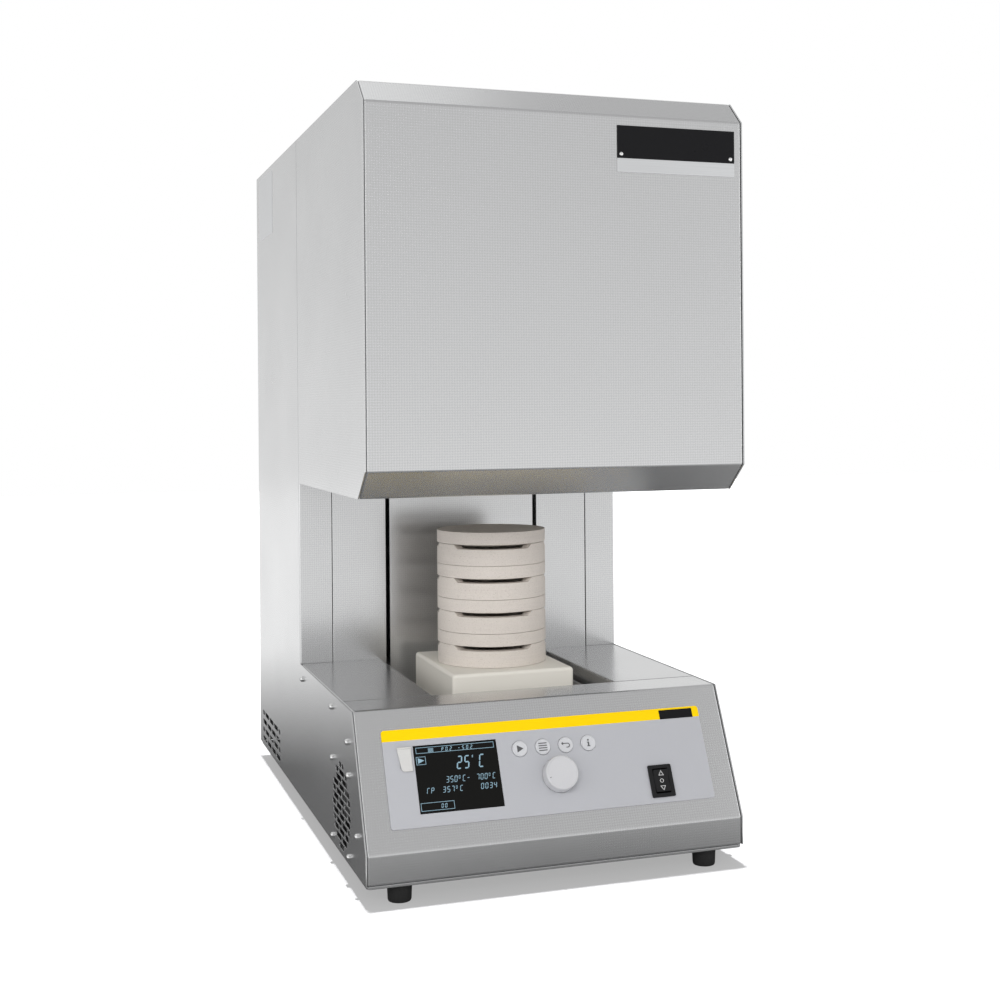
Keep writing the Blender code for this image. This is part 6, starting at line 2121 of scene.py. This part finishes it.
@dataclass
class PowerInlet:
    """The mains inlet on the rear: plate, socket with its pins and switch."""

    envelope: Envelope
    plate: float = 0.0022
    gap: float = 0.0003
    depth: float = 0.020
    inset: float = 0.003
    socket: Point = (0.0248, 0.0170)
    socket_down: float = 0.014
    switch_up: float = 0.014
    socket_depth: float = 0.015
    socket_corner: float = 0.004
    switch_size: Point = (0.0224, 0.0148)
    switch_depth: float = 0.0125
    switch_axis: float = 0.0055
    pin_size: Point = (0.002, 0.004)
    pin_length: float = 0.011
    pin_places: tuple[Point, ...] = ((-0.007, -0.002), (0, 0.002), (0.007, -0.002))

    def build(self) -> None:
        """Makes the inlet's pieces."""
        room = span("power_inlet")
        width, height = room.size.x, room.size.z
        place = self.envelope.rear(room.centre.x, room.centre.z)
        face = self.gap + self.plate
        plate = Shape.rectangle(width, height).rounded(0.003).raised(self.plate, self.gap).soften(0.0005, 3)
        body = Shape.rectangle(width - 2 * self.inset, height - 2 * self.inset)
        body.raised(self.depth, self.gap - self.depth)
        inlet = plate.cut(*self._openings(face)).joined(body.cut(*self._openings(face)))
        finished("inlet_plate", inlet.moved(place), SWITCH_BLACK, replaces=["power_inlet"])
        pins = [
            Shape.rectangle(*self.pin_size, (x, y - self.socket_down))
            .raised(self.pin_length, face - self.socket_depth)
            .soften(0.0004)
            for x, y in self.pin_places
        ]
        finished("inlet_pins", Shape().joined(*pins).moved(place), SCREW_STEEL)
        axis = place @ shift(0, self.switch_up, face - self.switch_axis)
        axis @= Matrix.Rotation(math.pi / 2, 4, "Z")
        Paddle("mains_key", axis, "mains_switch_paddle", False).build()

    def _openings(self, face: float) -> tuple[Shape, Shape]:
        """Cutters for the socket and for the switch.

        Args:
            face: How far out the plate's face lies.

        Returns:
            The two cutters.
        """
        half_w, half_h, corner = self.socket[0] / 2, self.socket[1] / 2, self.socket_corner
        mouth = [(half_w, -half_h), (half_w, half_h - corner), (half_w - corner, half_h)]
        mouth += [(-a, b) for a, b in mouth[::-1]]
        socket = Shape.outline([(a, b - self.socket_down) for a, b in mouth]).rounded(0.0006, 3)
        switch = Shape.rectangle(*self.switch_size, (0, self.switch_up)).rounded(0.0008)
        reach = 2 * self.socket_depth
        return socket.raised(reach, face - self.socket_depth), switch.raised(reach, face - self.switch_depth)


@dataclass
class Inside:
    """What shows through slots and openings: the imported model's own nodes with their finishes."""

    finishes: tuple[tuple[Finish, tuple[str, ...]], ...] = (
        (BLACK_PLASTIC, ("fan_frame", "fan_rotor", "encoder_rotor")),
        (FIBRE, ("chamber_insulation", "roof_insulation")),
        (INNER_STEEL, ("inner_casing", "lift_motor", "power_transformer")),
        (PLUG_CERAMIC, ("thermocouple",)),
        (MACHINED_STEEL, ("lift_carriage", "guide_rod_left", "guide_rod_right", "lower_bearing_plate")),
        (MACHINED_STEEL, ("upper_bearing_plate", "encoder_housing", "usb_socket")),
        (BOARD_GREEN, ("controller_board",)),
        (DARK_CERAMIC, tuple(f"heating_element_{i}" for i in range(1, 5))),
    )

    def build(self) -> None:
        """Gives each node its finish."""
        for finish, name in ((finish, name) for finish, names in self.finishes for name in names):
            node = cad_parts[name]
            node.data.materials.clear()
            node.data.materials.append(finish.material())
            LOG.info("%s keeps its shape, finish %s", name, finish.name)


class Glossy(Enum):
    """What a lamp lights: only what gloss mirrors, or everything but that."""

    ONLY = "only"
    NEVER = "never"


@dataclass
class Studio:
    """Camera, floor, light and surroundings."""

    camera_place: tuple[float, float, float] = (-0.43899, -1.48987, 0.41898)
    camera_yaw: float = math.radians(-18.89429)
    camera_roll: float = math.radians(-0.44756)
    lens: float = 52.867
    shift: Point = (-0.03, -0.09395)
    floor_size: float = 12.0
    floor_drop: float = 0.0002
    floor_color: Color = (0.10, 0.10, 0.102)
    floor_glow: float = 0.395
    # Painted reflection of the floor for gloss: dark near the furnace, a painted shade standing in for its
    # shadow and the grey floor round it, white far away.
    near_mirrored_shade: float = 0.12
    far_reflection: float = 1.14
    near_distance: float = 0.30
    far_distance: float = 1.1
    white_distance: float = 1.3
    sky_diffuse: float = 0.62
    horizon: float = 0.94
    zenith: float = 0.57
    rear_gain: float = 0.20
    left_loss: float = 0.14
    horizon_falloff: float = 3.0
    sun_strength: float = 22.0
    sun_angle: float = math.radians(0.6)

    def build(self) -> None:
        """Sets the studio up."""
        bpy.context.scene.view_settings.view_transform = "Standard"
        self.camera()
        self.overhead(self.floor())
        self.world()
        self.lamp("key", (-0.7, -2.0, 1.1), (0, -0.1, 0.2), (1.6, 0.6), 20.0, Glossy.NEVER)
        self.lamp("left_fill", (-1.2, -0.9, 0.45), (0, -0.1, 0.2), (0.5, 0.5), 2.2, Glossy.NEVER)
        self.lamp("right_fill", (1.6, -1.0, 0.6), (0, -0.1, 0.2), (0.8, 0.8), 1.8, Glossy.NEVER)
        self.lamp("left_softbox", (-2.2, -0.8, 0.7), (0, 0, 0.4), (2.6, 2.6), 12.0, Glossy.ONLY)
        self.lamp("top_softbox", (-0.4, 0.35, 2.7), (0, 0, 0.6), (1.6, 1.6), 4.5, Glossy.ONLY)
        self.lamp("right_softbox", (2.0, -1.6, 1.1), (0, 0, 0.4), (0.6, 1.8), 6.0, Glossy.ONLY)
        self.lamp("rear_fill", (0.6, 1.9, 1.8), (0, 0, 0.3), (2.0, 1.0), 10.0, Glossy.NEVER)

    def camera(self) -> None:
        """The camera where the photograph was taken from."""
        data = bpy.data.cameras.new("camera")
        data.sensor_width, data.lens = 36.0, self.lens
        data.shift_x, data.shift_y = self.shift
        data.clip_start, data.clip_end = 0.01, 100.0
        camera = bpy.data.objects.new("camera", data)
        turn = Matrix.Rotation(self.camera_yaw, 4, "Z") @ Matrix.Rotation(math.pi / 2, 4, "X")
        roll = Matrix.Rotation(self.camera_roll, 4, "Z")
        camera.matrix_world = Matrix.Translation(self.camera_place) @ turn @ roll
        bpy.context.scene.collection.objects.link(camera)
        bpy.context.scene.camera = camera

    def overhead(self, floor: bpy.types.Object) -> None:
        """The light from straight above that draws the shadow on the floor.

        Args:
            floor: The floor, which alone it lights.
        """
        data = bpy.data.lights.new("overhead", "SUN")
        data.energy, data.angle = self.sun_strength, self.sun_angle
        lamp = bpy.data.objects.new("overhead", data)
        lit = bpy.data.collections.new("floor_only")
        lit.objects.link(floor)
        lamp.light_linking.receiver_collection = lit
        bpy.context.scene.collection.objects.link(lamp)

    def lamp(
        self,
        name: str,
        place: Sequence[float],
        target: Sequence[float],
        size: Point,
        power: float,
        glossy: Glossy,
    ) -> None:
        """A soft rectangular lamp.

        Args:
            name: Its name.
            place: Where it hangs.
            target: What it points at.
            size: Its width and height.
            power: Its power in watts.
            glossy: Whether gloss shows it.
        """
        data = bpy.data.lights.new(name, "AREA")
        data.shape, data.size, data.size_y, data.energy = "RECTANGLE", size[0], size[1], power
        lamp = bpy.data.objects.new(name, data)
        away = (Vector(place) - Vector(target)).normalized()
        lamp.matrix_world = Matrix.Translation(place) @ away.to_track_quat("Z", "Y").to_matrix().to_4x4()
        lamp.visible_camera = False
        lamp.visible_glossy = glossy is Glossy.ONLY
        lamp.visible_diffuse = glossy is Glossy.NEVER
        bpy.context.scene.collection.objects.link(lamp)

    def floor(self) -> bpy.types.Object:
        """A pale floor that keeps the furnace's shadow, and shows gloss a painted shade that darkens towards
        the furnace.

        Returns:
            The floor.
        """
        flat = Shape.rectangle(self.floor_size, self.floor_size)
        flat.moved(shift(0, 0, -self.floor_drop))
        floor = flat.loose("floor")
        made = bpy.data.materials.new("studio_floor")
        made.use_nodes = True
        wiring = Wiring(made.node_tree)
        made.node_tree.nodes.remove(made.node_tree.nodes["Principled BSDF"])
        rays = wiring.node("LightPath").outputs
        place = wiring.place(False)
        away = wiring.node("VectorMath", {0: place}, operation="LENGTH").outputs["Value"]
        # Gloss sees a painted reflection of the floor: painted shade near the furnace, rising to white
        # further off.
        painted_floor_reflection = wiring.ramp(
            away, self.near_distance, self.far_distance, self.near_mirrored_shade, self.far_reflection
        )
        shine = wiring.ramp(away, self.near_distance, self.white_distance, self.floor_glow, 1.0)
        seen = wiring.maths("MAXIMUM", rays["Is Camera Ray"], rays["Is Transmission Ray"])
        base = wiring.node("BsdfDiffuse", {"Color": (*self.floor_color, 1.0)})
        glow = wiring.node("Emission", {"Color": (1, 1, 1, 1), "Strength": shine})
        lit = wiring.node("AddShader", {0: base.outputs[0], 1: glow.outputs[0]})
        mirror = wiring.node("Emission", {"Color": (1, 1, 1, 1), "Strength": painted_floor_reflection})
        plain = wiring.node("MixShader", {0: rays["Is Glossy Ray"], 1: base.outputs[0], 2: mirror.outputs[0]})
        shown = wiring.node("MixShader", {0: seen, 1: plain.outputs[0], 2: lit.outputs[0]})
        wiring.feed(made.node_tree.nodes["Material Output"].inputs["Surface"], shown.outputs[0])
        floor.data.materials.append(made)
        return floor

    def world(self) -> None:
        """White surroundings for what is seen, graded from a pale horizon to a greyer zenith for what is
        mirrored, softer for what is lit.
        """
        world = bpy.data.worlds.new("studio")
        bpy.context.scene.world = world
        world.use_nodes = True
        wiring = Wiring(world.node_tree)
        rays = wiring.node("LightPath").outputs
        direction = wiring.node("TexCoord").outputs["Generated"]
        axes = wiring.node("SeparateXYZ", {0: direction}).outputs
        low = wiring.maths("POWER", wiring.ramp(axes["Z"], 0.0, 1.0, 1.0, 0.0), self.horizon_falloff)
        mirrored = wiring.ramp(low, 0.0, 1.0, self.zenith, self.horizon)
        behind = wiring.maths(
            "MULTIPLY",
            wiring.ramp(axes["Y"], 0.1, 0.6, 0.0, self.rear_gain),
            wiring.ramp(axes["X"], -0.1, 0.3),
        )
        mirrored = wiring.maths("ADD", mirrored, behind)
        mirrored = wiring.maths("SUBTRACT", mirrored, wiring.ramp(axes["X"], -0.2, -0.9, 0.0, self.left_loss))
        diffuse = self.sky_diffuse
        rows = (("Is Glossy Ray", mirrored), ("Is Transmission Ray", 1.0), ("Is Camera Ray", 1.0))
        for flag, value in rows:
            chosen = wiring.node("Mix", {0: rays[flag]}, data_type="FLOAT")
            wiring.feed(chosen.inputs[2], diffuse)
            wiring.feed(chosen.inputs[3], value)
            diffuse = chosen.outputs[0]
        background = world.node_tree.nodes["Background"]
        background.inputs["Color"].default_value = (1, 1, 1, 1)
        wiring.feed(background.inputs["Strength"], diffuse)


def main() -> None:
    """Dresses the furnace, piece by piece, and sets the studio up."""
    logging.basicConfig(level=logging.INFO, format="%(name)s: %(message)s")
    envelope = Envelope.measured()
    for assembly in (
        BaseShell(envelope),
        Head(envelope),
        Console(envelope),
        Lift(),
        Drive(),
        PowerInlet(envelope),
        Inside(),
        Studio(),
    ):
        LOG.info("building %s", type(assembly).__name__)
        assembly.build()


if __name__ == "__main__":
    main()
